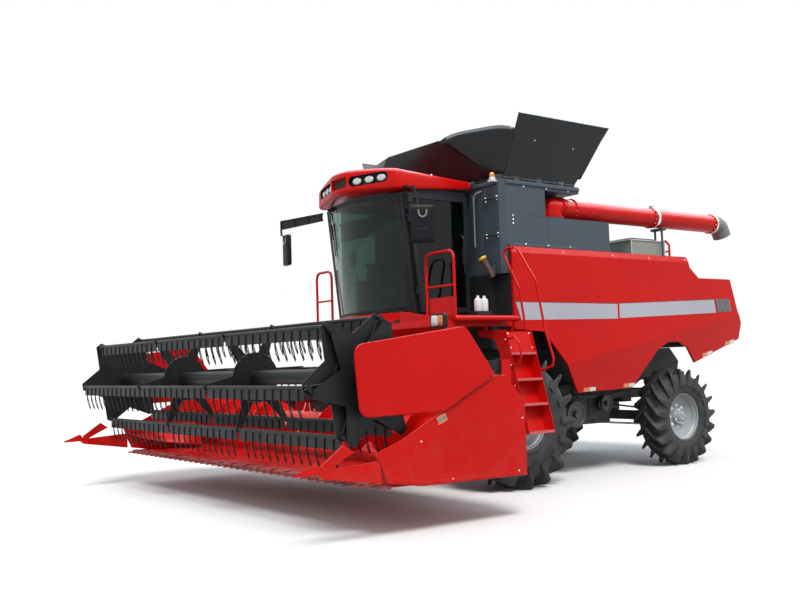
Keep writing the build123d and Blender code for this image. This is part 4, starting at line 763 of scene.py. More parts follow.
# ---------------------------------------------------------------- roof lamps and beacon
ROOF_Y, ROOF_FRONT = 0.905, 1.300  # the roof's half width, and how far ahead its front corners are
ROOF_NOSE = 0.344  # how fast the visor's two faces run back from the middle
POD_Y, POD_TURN, LAMP_Z, LAMP_PITCH = 0.485, 19, 3.815, 0.185
POD_FLOOR = ROOF_FRONT + ROOF_NOSE * (ROOF_Y - POD_Y)
SLOT_R, LINER_R = 0.065, 0.0645
SLOT_REACH = 0.235  # from a slot's middle to the middle of its round end
LAMP_WIDE, LAMP_TALL = 0.068, 0.046  # half sizes of a lamp
# share of a lamp's size and height over the slot's floor
BEZEL = ((1.0, 0.004), (1.0, 0.018), (0.93, 0.024), (0.86, 0.022))
LENS = ((0.97, 0.006), (0.97, 0.026), (0.93, 0.031), (0.78, 0.036), (0.5, 0.039), (0.2, 0.040))


def pod(side):
    """The middle of a lamp slot's floor, the way it faces and the way along it."""
    turn = math.radians(side * POD_TURN)
    facing = Vector((math.cos(turn), math.sin(turn), 0))
    sideways = Vector((-math.sin(turn), math.cos(turn), 0))
    return place(POD_FLOOR, side * POD_Y, LAMP_Z) - facing * 0.055, facing, sideways


lenses, bezels, liners = Form(), Form(), Form()
for side in (1, -1):
    floor, facing, sideways = pod(side)
    slot = []
    for k in range(32):
        t = math.pi * (k / 16 - 0.5)
        centre = sideways * (SLOT_REACH if k <= 16 else -SLOT_REACH)
        slot.append(centre + sideways * (LINER_R * math.cos(t)) + Vector((0, 0, LINER_R * math.sin(t))))
    # share of the slot's size and height over its floor, round the liner's wall
    wall = ((0.90, 0.006), (0.985, 0.006), (0.985, 0.052), (0.999, 0.052), (0.999, 0.001), (0.90, 0.001))
    liners.skin([[floor + p * share + facing * high for p in slot] for share, high in wall], loop=True)
    liners.prism([floor + p * 0.92 + facing * 0.001 for p in slot], facing * 0.004)
    for k in (-1, 0, 1):
        centre = floor + sideways * (LAMP_PITCH * k)
        for form, scale, profile in ((bezels, 1.12, BEZEL), (lenses, 1.0, LENS)):
            rows = []
            for share, high in profile:
                rows.append([centre + facing * high + sideways * (LAMP_WIDE * scale * share * math.cos(t))
                             + Vector((0, 0, LAMP_TALL * scale * share * math.sin(t))) for t in around(32)])
            form.skin(rows)
lenses.done("roof_lamp_lenses", "root", "lamp_lens", smooth=50, replaces=("lamps",))
bezels.done("roof_lamp_bezels", "root", "trim_black", smooth=40)
liners.done("roof_lamp_liners", "root", "trim_black", smooth=40)

BEACON = place(0.126, 1.292, 3.780)
form = Form()
form.block(BEACON - Vector((0.046, 0.038, 0.020)), BEACON + Vector((0.044, 0.038, 0)))
form.turn([(0, 0), (0, 0.040), (0.030, 0.040), (0.034, 0.036), (0.034, 0)], BEACON, (0, 0, 1), 32)
form.done("beacon_base", "root", "lamp_lens", WHITE_PLASTIC, smooth=40)
form = Form()
dome = [(0.034, 0), (0.034, 0.035), (0.045, 0.036), (0.080, 0.033), (0.093, 0.026), (0.099, 0.012),
        (0.100, 0)]
form.turn(dome, BEACON, (0, 0, 1), 32)
form.done("beacon_dome", "root", "lamp_lens", AMBER, smooth=60)

# ---------------------------------------------------------------- cab roof


def roof_ring(inset, height, rise):
    """Closed plan line of the roof at an inset, at the height that height(a, y) gives plus a rise."""
    y = ROOF_Y - inset
    back = 0.100 + inset

    def front(v):
        return ROOF_FRONT + ROOF_NOSE * (ROOF_Y - max(abs(v), 0.13)) - inset

    spread = [y * k / 6 for k in range(-5, 6)]
    raw = [(back, -y), (front(y), -y)] + [(front(v), v) for v in spread] + [(front(y), y), (back, y)]
    corners = {0, 1, len(raw) - 2, len(raw) - 1}
    ring = []
    for i, (a, v) in enumerate(raw):
        if i in corners:
            corner = Vector((a, v))
            one, two = Vector(raw[i - 1]) - corner, Vector(raw[(i + 1) % len(raw)]) - corner
            reach = min(0.09, one.length * 0.45, two.length * 0.45)
            steps = bend(corner + one.normalized() * reach, corner, corner + two.normalized() * reach, 4)
        else:
            steps = [Vector((a, v))]
        ring += [place(p.x, p.y, height(p.x, p.y) + rise) for p in steps]
    return ring


def eased(value, low, high):
    t = max(0.0, min(1.0, (value - low) / (high - low)))
    return t * t * (3 - 2 * t)


def eaves(a, y):
    """Underside of the roof: lower under the visor than over the doors."""
    return 3.712 - eased(a, 1.00, 1.14) * (0.067 - 0.045 * (1 - (y / ROOF_Y) ** 2))


def brow(a, y):
    """Top of the roof's upright faces: high at the nose."""
    return 3.822 + eased(a, 0.85, 1.30) * (0.055 + 0.080 * (1 - (y / ROOF_Y) ** 2))


# inset, height line and rise of the roof's rings, from its underside round to its top
ROOF_RINGS = [(0.10, eaves, -0.010), (0.060, eaves, 0.012), (0.045, eaves, 0.001), (0.018, eaves, 0.000),
              (0.004, eaves, 0.014), (0.000, eaves, 0.034), (0.002, brow, -0.030), (0.009, brow, -0.010),
              (0.025, brow, 0.004), (0.060, brow, 0.016), (0.130, brow, 0.026), (0.260, brow, 0.036),
              (0.520, brow, 0.042)]
form = Form()
form.skin([roof_ring(*ring) for ring in ROOF_RINGS])
roof = form.done("cab_roof_shell", "root", "body_red", smooth=55, replaces=("cab_roof",))
form = Form()
for side in (1, -1):
    floor, facing, sideways = pod(side)
    slot = []
    for k in range(32):
        t = math.pi * (k / 16 - 0.5) if k <= 16 else math.pi * ((k - 1) / 15 - 0.5)
        reach = (SLOT_REACH if k <= 16 else -SLOT_REACH) + SLOT_R * math.cos(t)
        slot.append(floor + sideways * reach + Vector((0, 0, SLOT_R * math.sin(t))))
    form.prism(slot, facing * 0.16)
form.box((1.500, -0.175, LAMP_Z - 0.062), (1.700, 0.165, LAMP_Z + 0.070))
cutter = form.make("roof_cutter")
cut = roof.modifiers.new("cut", "BOOLEAN")
cut.object = cutter
cut.solver = "EXACT"
soften(roof, 0.007, 3, 50)
apply_modifiers(roof)
roof.data.set_sharp_from_angle(angle=math.radians(50))
bpy.data.objects.remove(cutter)

form = Form()
form.box((1.5005, -0.174, LAMP_Z - 0.061), (1.504, 0.164, LAMP_Z + 0.069))
for z in (-0.035, -0.010, 0.015, 0.040):
    form.box((1.504, -0.165, LAMP_Z + z - 0.008), (1.515, 0.155, LAMP_Z + z - 0.004))
form.done("roof_vent", "root", "trim_black", BROWN, bevel=0.001, smooth=0)
form = Form()
for a in (0.62, 0.98):
    form.tube(arc(place(a, 0.70, 3.885), 0.022, -60, 240, 12, "yz"), 0.005, 8)
form.done("roof_lifting_rings", "root", "bright_steel", ZINC, smooth=60)
form = Form()
for side in (1, -1):
    form.rod([(0.12, side * 0.880, 3.706), (0.98, side * 0.880, 3.706)], 0.012, 10)
form.done("roof_drip_seals", "root", "trim_black", smooth=60)

# ---------------------------------------------------------------- windshield dress and wipers
# radius in plan, how far ahead its middle is at the foot, and the foot's height
GLASS_R, GLASS_NOSE, GLASS_FOOT = 1.589, 1.250, 2.180
GLASS_LEAN, GLASS_OUTER = 0.1111, 0.0089  # run forward for each metre up, and step out to the outer face


def on_glass(y, z, proud=0.0):
    """A place on the windshield's outer face."""
    bow = GLASS_NOSE - GLASS_R + math.sqrt(GLASS_R ** 2 - y * y) + GLASS_OUTER
    return place(bow + (z - GLASS_FOOT) * GLASS_LEAN + proud, y, z)


def glass_band(form, z0, z1, y0, y1, proud, thick, steps=20):
    rows = []
    for z in (z0, z1):
        for depth in ((proud, proud + thick) if z == z0 else (proud + thick, proud)):
            rows.append([on_glass(y0 + (y1 - y0) * k / steps, z, depth) for k in range(steps + 1)])
    made = [form.ring(row) for row in rows]
    for one, two in zip(made, made[1:] + made[:1]):
        form.join(one, two, closed=False)
    form.cap([row[0] for row in made])
    form.cap([row[-1] for row in made][::-1])


form = Form()
glass_band(form, 3.560, 3.618, -0.782, 0.782, 0.0004, 0.002)
glass_band(form, 2.182, 2.215, -0.782, 0.782, 0.0004, 0.002)
for side in (1, -1):
    glass_band(form, 2.182, 3.618, side * 0.745, side * 0.784, 0.0004, 0.002, 4)
form.done("windshield_frit", "root", "trim_black", smooth=0)
form = Form()
glass_band(form, 2.005, 2.172, -0.790, 0.790, 0.006, 0.008)
form.plate([(1.235, 0.785, 2.000), (1.225, 1.440, 1.985), (1.225, 1.440, 2.078), (1.235, 0.785, 2.172)],
           (0.010, 0, 0))
form.done("cab_sill_panel", "root", "body_red", bevel=0.002, smooth=50)
form = Form()
for y, foot in ((-0.52, 2.98), (-0.40, 3.06)):
    top = on_glass(y, 3.585, 0.030)
    form.tube([top, on_glass(y - 0.02, 3.45, 0.035), on_glass(y - 0.05, foot + 0.22, 0.022)], 0.006, 8)
    form.tube([on_glass(y - 0.055, 3.40, 0.012), on_glass(y - 0.05, foot + 0.2, 0.012),
               on_glass(y - 0.045, foot, 0.012)], 0.007, 6)
    form.turn([(-0.02, 0), (-0.02, 0.020), (0.03, 0.018), (0.036, 0.010), (0.036, 0)], top, (1, 0, 0), 16)
form.done("wipers", "root", "trim_black", smooth=50)
form = Form()
form.box((1.10, -0.66, 3.40), (1.13, 0.66, 3.43))
form.box((1.112, -0.64, 3.18), (1.116, 0.64, 3.40))
form.done("sun_shade", "root", "trim_black", MATERIALS["tank_grey"], bevel=0.002, smooth=0)

# ---------------------------------------------------------------- mirrors


def rounded_box(form, centre, size, x_dir, z_dir, radius, crown=0.0):
    """Box with round corners in its plane and softened faces."""
    centre = Vector(centre)
    x, y, z = axes(x_dir, z_dir)
    rings = []
    for depth, shrink in ((-0.5, 0.90), (-0.5, 0.96), (-0.42, 1.0), (0.40, 1.0), (0.5, 0.96),
                          (0.5 + crown, 0.80), (0.5 + crown * 1.5, 0.4)):
        ring = []
        for cx, cy, first in ((1, 1, 0), (-1, 1, 90), (-1, -1, 180), (1, -1, 270)):
            for k in range(6):
                t = math.radians(first + 18 * k)
                px = cx * (size[0] / 2 - radius) + radius * math.cos(t)
                py = cy * (size[1] / 2 - radius) + radius * math.sin(t)
                ring.append(centre + (x * px + y * py) * shrink + z * (depth * size[2]))
        rings.append(ring)
    form.skin(rings)


form, glass_form, bracket = Form(), Form(), Form()
near = place(1.240, 1.285, 3.165)
far = place(1.240, -1.865, 3.215)
for head, width, angle in ((near, 0.268, 56), (far, 0.215, -10)):
    turn = math.radians(angle)
    back = Vector((math.cos(turn), math.sin(turn), 0))
    wide = Vector((-math.sin(turn), math.cos(turn), 0))
    rounded_box(form, head, (width, 0.440, 0.056), wide, back, 0.030, 0.06)
    rounded_box(glass_form, head - back * 0.029, (width - 0.025, 0.410, 0.004), wide, -back, 0.024)
    rounded_box(form, head + back * 0.030 - Vector((0, 0, 0.115)), (width * 0.6, 0.120, 0.012), wide, back,
                0.020)
    rim = [head + back * 0.036 + wide * x + Vector((0, 0, z))
           for x, z in ((-0.048, 0.165), (-0.044, 0.100), (0, 0.070), (0.044, 0.100), (0.048, 0.165))]
    bracket.tube(rounded(rim, 0.04), 0.011, 8)
arm = place(1.200, 0.925, 3.640)
form.tube(rounded([arm, arm + Vector((0, 0, -0.21)), arm + Vector((0, 0.01, -0.24))], 0.02), 0.012, 10)
form.rod([(1.200, 0.880, 3.648), (1.200, 1.100, 3.650)], 0.010, 10)
form.rod([(1.200, 0.880, 3.454), (1.200, 1.141, 3.472)], 0.010, 10)
form.rod([(1.200, 0.880, 3.550), (1.200, 1.110, 3.560)], 0.007, 8)
form.tube(rounded([place(1.200, 1.090, 3.660), place(1.200, 1.141, 3.472), place(1.210, 1.190, 3.320),
                   near + Vector((0.03, -0.02, 0.12))], 0.04), 0.012, 10)
form.box((1.175, 0.900, 3.640), (1.225, 0.955, 3.680))
for z0, z1 in ((3.606, 3.655), (3.520, 3.545)):
    form.plate([(1.235, -0.885, z0), (1.235, -2.010, z1), (1.235, -2.010, z1 - 0.022),
                (1.235, -0.885, z0 - 0.022)], (0.020, 0, 0))
for y, z0, z1 in ((-0.90, 3.50, 3.606), (-1.25, 3.515, 3.62), (-1.62, 3.525, 3.636), (-2.0, 3.44, 3.655)):
    form.plate([(1.235, y, z0), (1.235, y - 0.022, z0), (1.235, y - 0.022, z1), (1.235, y, z1)],
               (0.020, 0, 0))
form.tube(rounded([place(1.245, -2.005, 3.46), place(1.245, -1.98, 3.44), far + Vector((0.03, 0, 0.17))],
                  0.03), 0.012, 10)
form.done("mirror_heads", "root", "trim_black", MIRROR_BLACK, smooth=40, replaces=("mirrors",))
glass_form.done("mirror_glasses", "root", "bright_steel", smooth=40)
bracket.done("mirror_brackets", "root", "rim_silver", DULL_GREY, smooth=60)
form = Form()
form.plate([(1.240, -0.89, 3.510), (1.240, -2.00, 3.530), (1.240, -2.00, 3.650), (1.240, -0.89, 3.602)],
           (0.006, 0, 0))
form.done("far_mirror_web", "root", "trim_black", MIRROR_BLACK, smooth=0)

# ---------------------------------------------------------------- cab inside


def cushion(name, centre, size, x_dir, z_dir, crown, replaces=()):
    """Stuffed pad: a crowned face, pulled-in sides with piping, flat underneath, and two sewn channels."""
    centre = Vector(centre)
    x, y, z = axes(x_dir, z_dir)
    form = Form()
    rings = []
    for depth, shrink in ((-0.5, 0.80), (-0.5, 0.93), (-0.38, 0.985), (0.0, 1.0), (0.30, 0.985), (0.42, 0.95),
                          (0.47, 0.90), (0.5, 0.86), (0.5, 0.60), (0.5, 0.30), (0.5, 0.08)):
        ring = []
        for t in around(40):
            px = math.copysign(abs(math.cos(t)) ** 0.35, math.cos(t)) * size[0] / 2
            py = math.copysign(abs(math.sin(t)) ** 0.35, math.sin(t)) * size[1] / 2
            px, py = px * shrink, py * shrink
            lift = 0.0
            if depth > 0.4:
                lift = crown * (1 - (2 * px / size[0]) ** 2) * (1 - (2 * py / size[1]) ** 2)
                for groove in (-0.22, 0.22):
                    lift -= 0.010 * math.exp(-((py / size[1] - groove) * size[1] / 0.012) ** 2)
            ring.append(centre + x * px + y * py + z * (depth * size[2] + lift))
        rings.append(ring)
    form.skin(rings)
    thing = form.done(name, "root", "seat_fabric", smooth=70, subdivide=1, replaces=replaces)
    return thing


cushion("seat_cushion", place(0.565, 0, 2.472), (0.46, 0.47, 0.105), (1, 0, 0), (0, 0, 1), 0.018,
        replaces=("seat",))
lean = math.radians(10)
back_up = Vector((-math.sin(lean), 0, math.cos(lean)))
back_face = Vector((0, 1, 0)).cross(back_up).normalized()
cushion("seat_back", place(0.335, 0, 2.845), (0.60, 0.45, 0.10), back_up, back_face, 0.014)
form = Form()
rows = []
for i in range(13):
    wide = 0.155 + (0.018 if i % 2 else 0.0)
    z = 2.105 + 0.305 * i / 12
    rows.append([place(0.57 + wide * 0.8 * sx, wide * sy, z) for sx,
                 sy in ((-1, -1), (1, -1), (1, 1), (-1, 1))])
form.skin(rows)
form.slab(place(0.57, 0, 2.413), (0.42, 0.44, 0.012), (1, 0, 0), (0, 0, 1))
for side in (1, -1):
    rounded_box(form, place(0.56, side * 0.262, 2.70), (0.30, 0.055, 0.05), (1, 0, 0), (0, 0, 1), 0.02)
    form.rod([(0.36, side * 0.262, 2.56), (0.42, side * 0.262, 2.69)], 0.012, 8)
form.done("seat_stand", "root", "trim_black", smooth=35)

form = Form()
wheel_at, wheel_up = place(0.925, 0, 2.775), Vector((-160, 0, 660)).normalized()
u, v = across(wheel_up)
form.tube([wheel_at + (u * math.cos(t) + v * math.sin(t)) * 0.190 for t in around(40)], 0.0165, 12,
          closed=True)
form.turn([(0.010, 0), (0.010, 0.055), (0.022, 0.050), (0.030, 0.030), (0.031, 0)], wheel_at, wheel_up, 24)
for k in range(3):
    t = math.radians(90 + 120 * k)
    way = u * math.cos(t) + v * math.sin(t)
    form.tube([wheel_at + way * 0.04, wheel_at + way * 0.185], [0.014, 0.010], 8)
form.rod([(0.80, -0.43, 2.650), (0.82, -0.43, 2.78)], [0.014, 0.010], 10)
form.turn([(0, 0), (0.0, 0.02), (0.03, 0.026), (0.06, 0.020), (0.07, 0)], place(0.82, -0.43, 2.77),
          (0.1, 0, 1), 16)
for k in range(3):
    form.rod([(0.62 + 0.05 * k, -0.50, 2.650), (0.63 + 0.05 * k, -0.50, 2.72)], 0.006, 8)
form.slab(place(1.02, -0.52, 2.95), (0.24, 0.17, 0.035), (0, 1, 0), (-0.8, 0.3, 0.15))
form.rod([(1.02, -0.52, 2.90), (0.95, -0.48, 2.64)], 0.012, 8)
form.box((0.99, -0.13, 2.62), (1.07, 0.13, 2.74))
form.done("cab_fittings", "root", "trim_black", bevel=0.002, smooth=40)
form = Form()
form.box((0.236, -0.76, 2.72), (0.252, 0.76, 3.55))
form.done("cab_back_lining", "root", "trim_black", smooth=0)
form = Form()
form.plate([(0.36, -0.18, 3.10), (0.36, 0.18, 3.10), (0.33, 0.15, 3.28), (0.33, -0.15, 3.28)],
           (-0.07, 0, -0.01))
headrest = form.done("seat_headrest", "root", "seat_fabric", smooth=60, subdivide=2)
form = Form()
form.rod([(0.30, 0.86, 2.62), (0.30, 0.915, 2.66), (0.30, 0.915, 3.10), (0.30, 0.86, 3.14)],
         0.011, 10, corner=0.03)
form.done("cab_grab_rail", "door", "trim_black", smooth=60)

# ---------------------------------------------------------------- platform, rails and ladder
form = Form()
form.plate([(1.062, 1.150, 2.081), (1.062, 1.600, 2.081), (1.062, 1.600, 2.300), (1.062, 1.150, 2.300)],
           (0.006, 0, 0))
form.done("platform_front_plate", "root", "body_red", bevel=0.002, smooth=0)
form = Form()
for i in range(18):
    a = 0.16 + 0.052 * i
    form.box((a, 0.93, 2.0805), (a + 0.010, 1.625, 2.088))
for i in range(9):
    y = 0.95 + 0.08 * i
    form.box((0.14, y, 2.0805), (1.09, y + 0.006, 2.085))
form.done("platform_tread", "root", "chassis_grey", smooth=0)
housing, white, amber = Form(), Form(), Form()
lamp_at = place(1.262, 1.530, 2.022)
rounded_box(housing, lamp_at - Vector((0.020, 0, 0)), (0.250, 0.165, 0.060), (0, 1, 0), (1, 0, 0), 0.03)
rounded_box(white, lamp_at + Vector((0.010, -0.045, 0)), (0.115, 0.120, 0.012), (0, 1, 0), (1, 0, 0), 0.025,
            0.6)
rounded_box(amber, lamp_at + Vector((0.010, 0.062, 0)), (0.080, 0.120, 0.012), (0, 1, 0), (1, 0, 0), 0.020,
            0.6)
housing.done("work_lamp_housing", "root", "trim_black", smooth=40)
white.done("work_lamp_lens", "root", "lamp_lens", WHITE_LENS, smooth=40)
amber.done("work_lamp_indicator", "root", "lamp_lens", AMBER, smooth=40)
form = Form()
for a in (0.520, 0.620):
    form.turn([(0, 0), (0, 0.042), (0.012, 0.046), (0.120, 0.046), (0.145, 0.040), (0.155, 0.022),
               (0.156, 0.018), (0.185, 0.018), (0.185, 0)], place(a, 1.500, 2.135), (0, 0, 1), 24)
form.done("washer_bottles", "root", "lamp_lens", WHITE_PLASTIC, smooth=45)
form = Form()
form.box((0.455, 1.435, 2.085), (0.690, 1.565, 2.135))
form.done("bottle_tray", "root", "trim_black", bevel=0.003, smooth=0)

STEP_Z = (1.620, 1.316, 1.028, 0.712)
LADDER_TOP, LADDER_DROP, LADDER_RUN = (1.762, 1.905), 1.205, 0.330  # top: left and height


def ladder_front(z):
    return LADDER_TOP[0] + (LADDER_TOP[1] - z) / LADDER_DROP * LADDER_RUN


# Step edges and tread bars in the sky-lit pink red: a painted highlight on their tops.
form = Form()
for z in STEP_Z:
    y = ladder_front(z)
    form.box((0.028, y - 0.010, z - 0.011), (0.422, y - 0.003, z + 0.017))
    for k in range(9):
        a = 0.045 + k * 0.045
        form.box((a, y - 0.150, z + 0.0125), (a + 0.012, y - 0.015, z + 0.016))
form.done("ladder_step_edges", "root", "body_red", SKY_LIT_RED, bevel=0.001, smooth=0)
form = Form()
for a in (0.050, 0.400):
    for z in (1.860, 1.690):
        form.bolt(place(a, ladder_front(z) - 0.0225, z), (0, 1, 0.27), 0.007)
for y, z in ((1.767, 1.789), (1.847, 1.490)):
    form.bolt(place(0.452, y, z), (1, 0, 0), 0.008)
for z in (1.55, 1.25, 0.95):
    for a in (0.019, 0.437):
        form.bolt(place(a, ladder_front(z) - 0.06, z), (1 if a > 0.2 else -1, 0, 0), 0.007)
form.done("ladder_bolts", "root", "bright_steel", ZINC)

# ---------------------------------------------------------------- header
END_Y = 3.060
for hand, side in SIDES:
    form = Form()
    outer = side * END_Y
    edge = [(3.225, 0.768), (2.950, 0.866), (1.800, 1.408), (1.668, 1.398), (1.428, 1.130)]
    for line in (edge, [(1.428, 0.425), (2.74, 0.444), (3.12, 0.505)]):
        form.rod([(a, outer - side * 0.006, z) for a, z in line], 0.0075, 8, corner=0.05)
    form.plate([(2.86, outer, 0.880), (2.875, outer, 0.874), (2.80, outer, 0.455), (2.785, outer, 0.452)],
               (0, side * 0.003, 0))
    form.plate([(1.50, outer, 0.428), (2.70, outer, 0.450), (3.05, outer, 0.500), (3.05, outer, 0.530),
                (2.70, outer, 0.478), (1.50, outer, 0.456)], (0, side * 0.004, 0))
    form.done(f"end_sheet_rims_{hand}", "feeder", "body_red", bevel=0.001, smooth=45)
    form = Form()
    for a, z in ((2.383, 0.470), (2.740, 0.840), (1.542, 0.470), (1.470, 0.980)):
        form.bolt(place(a, outer + side * 0.002, z), (0, side, 0), 0.007)
    form.done(f"end_sheet_bolts_{hand}", "feeder", "bright_steel", ZINC)
    form = Form()
    curve = [(3.200, 0.700, 0.0), (3.05, 0.640, 0.10), (2.80, 0.570, 0.22), (2.50, 0.520, 0.30),
             (2.20, 0.490, 0.34)]
    rows = []
    for a, z, inward in curve:
        rise = (0.93 - z) * 0.75 * (3.25 - a)
        rows.append([place(a, side * (3.018 - inward * t), z + rise * (1 - t))
                     for t in (0.0, 0.15, 0.35, 0.6, 0.85, 1.0)])
    form.skin(rows, closed=False, caps=False)
    flange = form.done(f"end_deflector_{hand}", "feeder", "body_red", smooth=60)
    thicken(flange, 0.005)
    form = Form()
    shield = [(3.460, 1.718), (3.410, 1.095), (2.470, 1.110), (1.840, 1.420), (2.190, 1.880)]
    rim = []
    for i, corner in enumerate(shield):
        corner = Vector(corner)
        one, two = Vector(shield[i - 1]) - corner, Vector(shield[(i + 1) % len(shield)]) - corner
        reach = 0.11 / math.tan(one.angle(two) / 2)
        rim += bend(corner + one.normalized() * reach, corner, corner + two.normalized() * reach, 6)
    form.tube([place(p.x, side * 3.082, p.y) for p in rim], 0.0085, 8, closed=True)
    form.done(f"shield_rim_{hand}", "reel_arms", "body_red", smooth=60)
    form = Form()
    for a, z in ((2.33, 1.475), (3.08, 1.475), (2.33, 1.62), (3.08, 1.62)):
        form.bolt(place(a, side * 3.0825, z), (0, side, 0), 0.008)
    form.done(f"shield_bolts_{hand}", "reel_arms", "body_red")
    form = Form()
    form.slab(place(2.490, side * (END_Y + 0.002), 1.030), (0.115, 0.075, 0.004), (1, 0, -0.40), (0, side, 0))
    form.done(f"header_reflector_{hand}", "feeder", "lamp_lens", AMBER, bevel=0.001, smooth=0)
    form = Form()
    form.slab(place(2.490, side * (END_Y + 0.004), 1.030), (0.105, 0.030, 0.004), (1, 0, -0.40), (0, side, 0))
    form.done(f"header_reflector_band_{hand}", "feeder", "lamp_lens", DULL_GREY, smooth=0)

form = Form()
form.box((1.500, -3.015, 1.105), (1.545, 3.015, 1.185))
for side in (1, -1):
    form.box((1.513, side * 0.475, 0.60), (1.530, side * 0.88, 1.10))
    form.box((1.513, side * 1.30, 0.95), (1.528, side * 1.50, 1.10))
form.box((1.513, -0.475, 1.00), (1.535, 0.475, 1.10))
form.done("back_beam", "feeder", "chassis_grey", bevel=0.003, smooth=0)
form = Form()
for side in (1, -1):
    for k in range(8):
        y = side * (0.98 + 0.26 * k)
        form.box((1.545, y, 1.118), (1.552, y + side * 0.15, 1.150))
form.done("back_beam_dashes", "feeder", "body_red", bevel=0.002, smooth=0)

KNIFE_A, KNIFE_SECTIONS, KNIFE_PITCH = 3.060, 76, 0.0762
CLIPS, CLIP_PITCH = 19, 0.3048
form = Form()
for k in range(KNIFE_SECTIONS):
    y = (k - (KNIFE_SECTIONS - 1) / 2) * KNIFE_PITCH
    form.plate([(KNIFE_A + 0.045, y - 0.036, 0.4705), (KNIFE_A + 0.045, y + 0.036, 0.4705),
                (KNIFE_A + 0.125, y + 0.008, 0.4705), (KNIFE_A + 0.125, y - 0.008, 0.4705)], (0, 0, 0.003))
form.box((KNIFE_A + 0.020, -2.93, 0.4705), (KNIFE_A + 0.050, 2.93, 0.478))
form.box((KNIFE_A - 0.02, -2.95, 0.452), (KNIFE_A + 0.085, 2.95, 0.464))
form.done("knife_sections", "feeder", "knife_steel", GUARD_RED, smooth=0)
form = Form()
for k in range(CLIPS):
    y = (k - CLIPS // 2) * CLIP_PITCH + 0.05
    form.slab(place(KNIFE_A + 0.045, y, 0.486), (0.090, 0.034, 0.012), (1, 0, -0.1), (0.1, 0, 1))
form.done("knife_clips", "feeder", "trim_black", GUARD_RED, bevel=0.002, smooth=0)

AUGER = middle("header_auger")
TUBE, FLIGHT, PITCH, TURN_STEPS = 0.150, 0.270, 0.560, 40
FLIGHT_START, FLIGHT_END = 0.50, 2.88  # to each side of the middle
form = Form()
form.turn([(-2.958, 0), (-2.958, 0.135), (-2.948, TUBE), (2.948, TUBE), (2.958, 0.135), (2.958, 0)],
          AUGER, (0, 1, 0), 64)
# radius and sideways offset round a flight's section
SECTION = ((TUBE - 0.01, -0.004), (FLIGHT - 0.002, -0.003), (FLIGHT, 0), (FLIGHT - 0.002, 0.003),
           (TUBE - 0.01, 0.004))
for side in (1, -1):
    rings = []
    for i in range(int((FLIGHT_END - FLIGHT_START) / PITCH * TURN_STEPS) + 1):
        t = side * 2 * math.pi * i / TURN_STEPS
        y = side * (FLIGHT_START + PITCH * i / TURN_STEPS)
        rings.append([AUGER + Vector((0, y + offset, 0)) + upright(t) * radius for radius, offset in SECTION])
    form.skin(rings)
form.done("auger_flighting", "auger", "body_red", smooth=40, replaces=("header_auger",))
# Auger fingers in the sky-lit pink red: a painted highlight.
form = Form()
for i in range(9):
    out = upright(math.radians(110 * i))
    root = AUGER + Vector((0, (i - 4) * 0.100, 0))
    form.tube([root + out * 0.14, root + out * 0.26, root + out * 0.265], [0.009, 0.008, 0.004], 10)
    form.turn([(0.148, 0), (0.148, 0.030), (0.158, 0.026), (0.160, 0)], root, out, 16)
form.done("auger_fingers", "auger", "bright_steel", SKY_LIT_RED, smooth=45)

# ---------------------------------------------------------------- reel details
BAT_PHASE, REEL_R, BATS = 52, 0.570, 6
TINES, TINE_PITCH = 37, 0.152
SPIDERS = ((-2.860, -1), (-0.9, 1), (0.9, 1), (2.860, 1))  # place across, and the side that its rim is on
for k in range(BATS):
    a = math.radians(BAT_PHASE + 360 / BATS * k)
    bx, bz = REEL.x + REEL_R * math.cos(a), REEL.z + REEL_R * math.sin(a)
    form = Form()
    for low, high in ((-2.835, -0.925), (-0.875, 0.875), (0.925, 2.835)):
        form.tube([(bx - 0.001, low, bz - 0.110), (bx - 0.001, high, bz - 0.110)], 0.0055, 6)
        form.prism([(bx + 0.0025, low, bz - 0.045), (bx + 0.0025, high, bz - 0.045),
                    (bx + 0.0025, high, bz - 0.050), (bx + 0.0025, low, bz - 0.050)], (0.003, 0, 0))
    for i in range(TINES):
        y = (i - TINES // 2) * TINE_PITCH
        if min(abs(y - spider) for spider, _ in SPIDERS) < 0.04:
            continue
        form.block((bx + 0.002, y - 0.008, bz - 0.070), (bx + 0.007, y + 0.008, bz - 0.025))
        path = [(bx + 0.007, y, bz - 0.025), (bx + 0.008, y, bz - 0.150), (bx - 0.004, y, bz - 0.220),
                (bx - 0.036, y, bz - 0.300)]
        form.tube(path, [0.0065, 0.0060, 0.0055, 0.0045], 6)
    form.done(f"bat_{k + 1}_tine_clips", f"bat_{k + 1}", "reel_black", smooth=40)
form = Form()
for y, side in SPIDERS:
    face = Vector((REEL.x, y + side * 0.006, REEL.z))
    form.tube([face + upright(t) * 0.262 for t in around(60)], 0.007, 6, closed=True)
    for k in range(BATS):
        out = upright(math.radians(BAT_PHASE + 360 / BATS * k))
        form.bolt(face + out * 0.11, (0, side, 0), 0.011)
        if abs(y) > 2:
            hub = Vector((REEL.x, y + side * 0.007, REEL.z))
            form.tube([hub + out * 0.15, hub + out * 0.54], 0.010, 8)
form.done("reel_disc_rims", "reel", "reel_black", smooth=50)

# ---------------------------------------------------------------- unloading auger
TUBE_Y, TUBE_Z, TUBE_R = 1.215, 3.520, 0.135


def band(form, centre, axis, half, inner, outer):
    """Flat ring round an axis."""
    form.turn([(-half, inner), (-half, outer), (half, outer), (half, inner)], centre, axis, 48, closed=True)


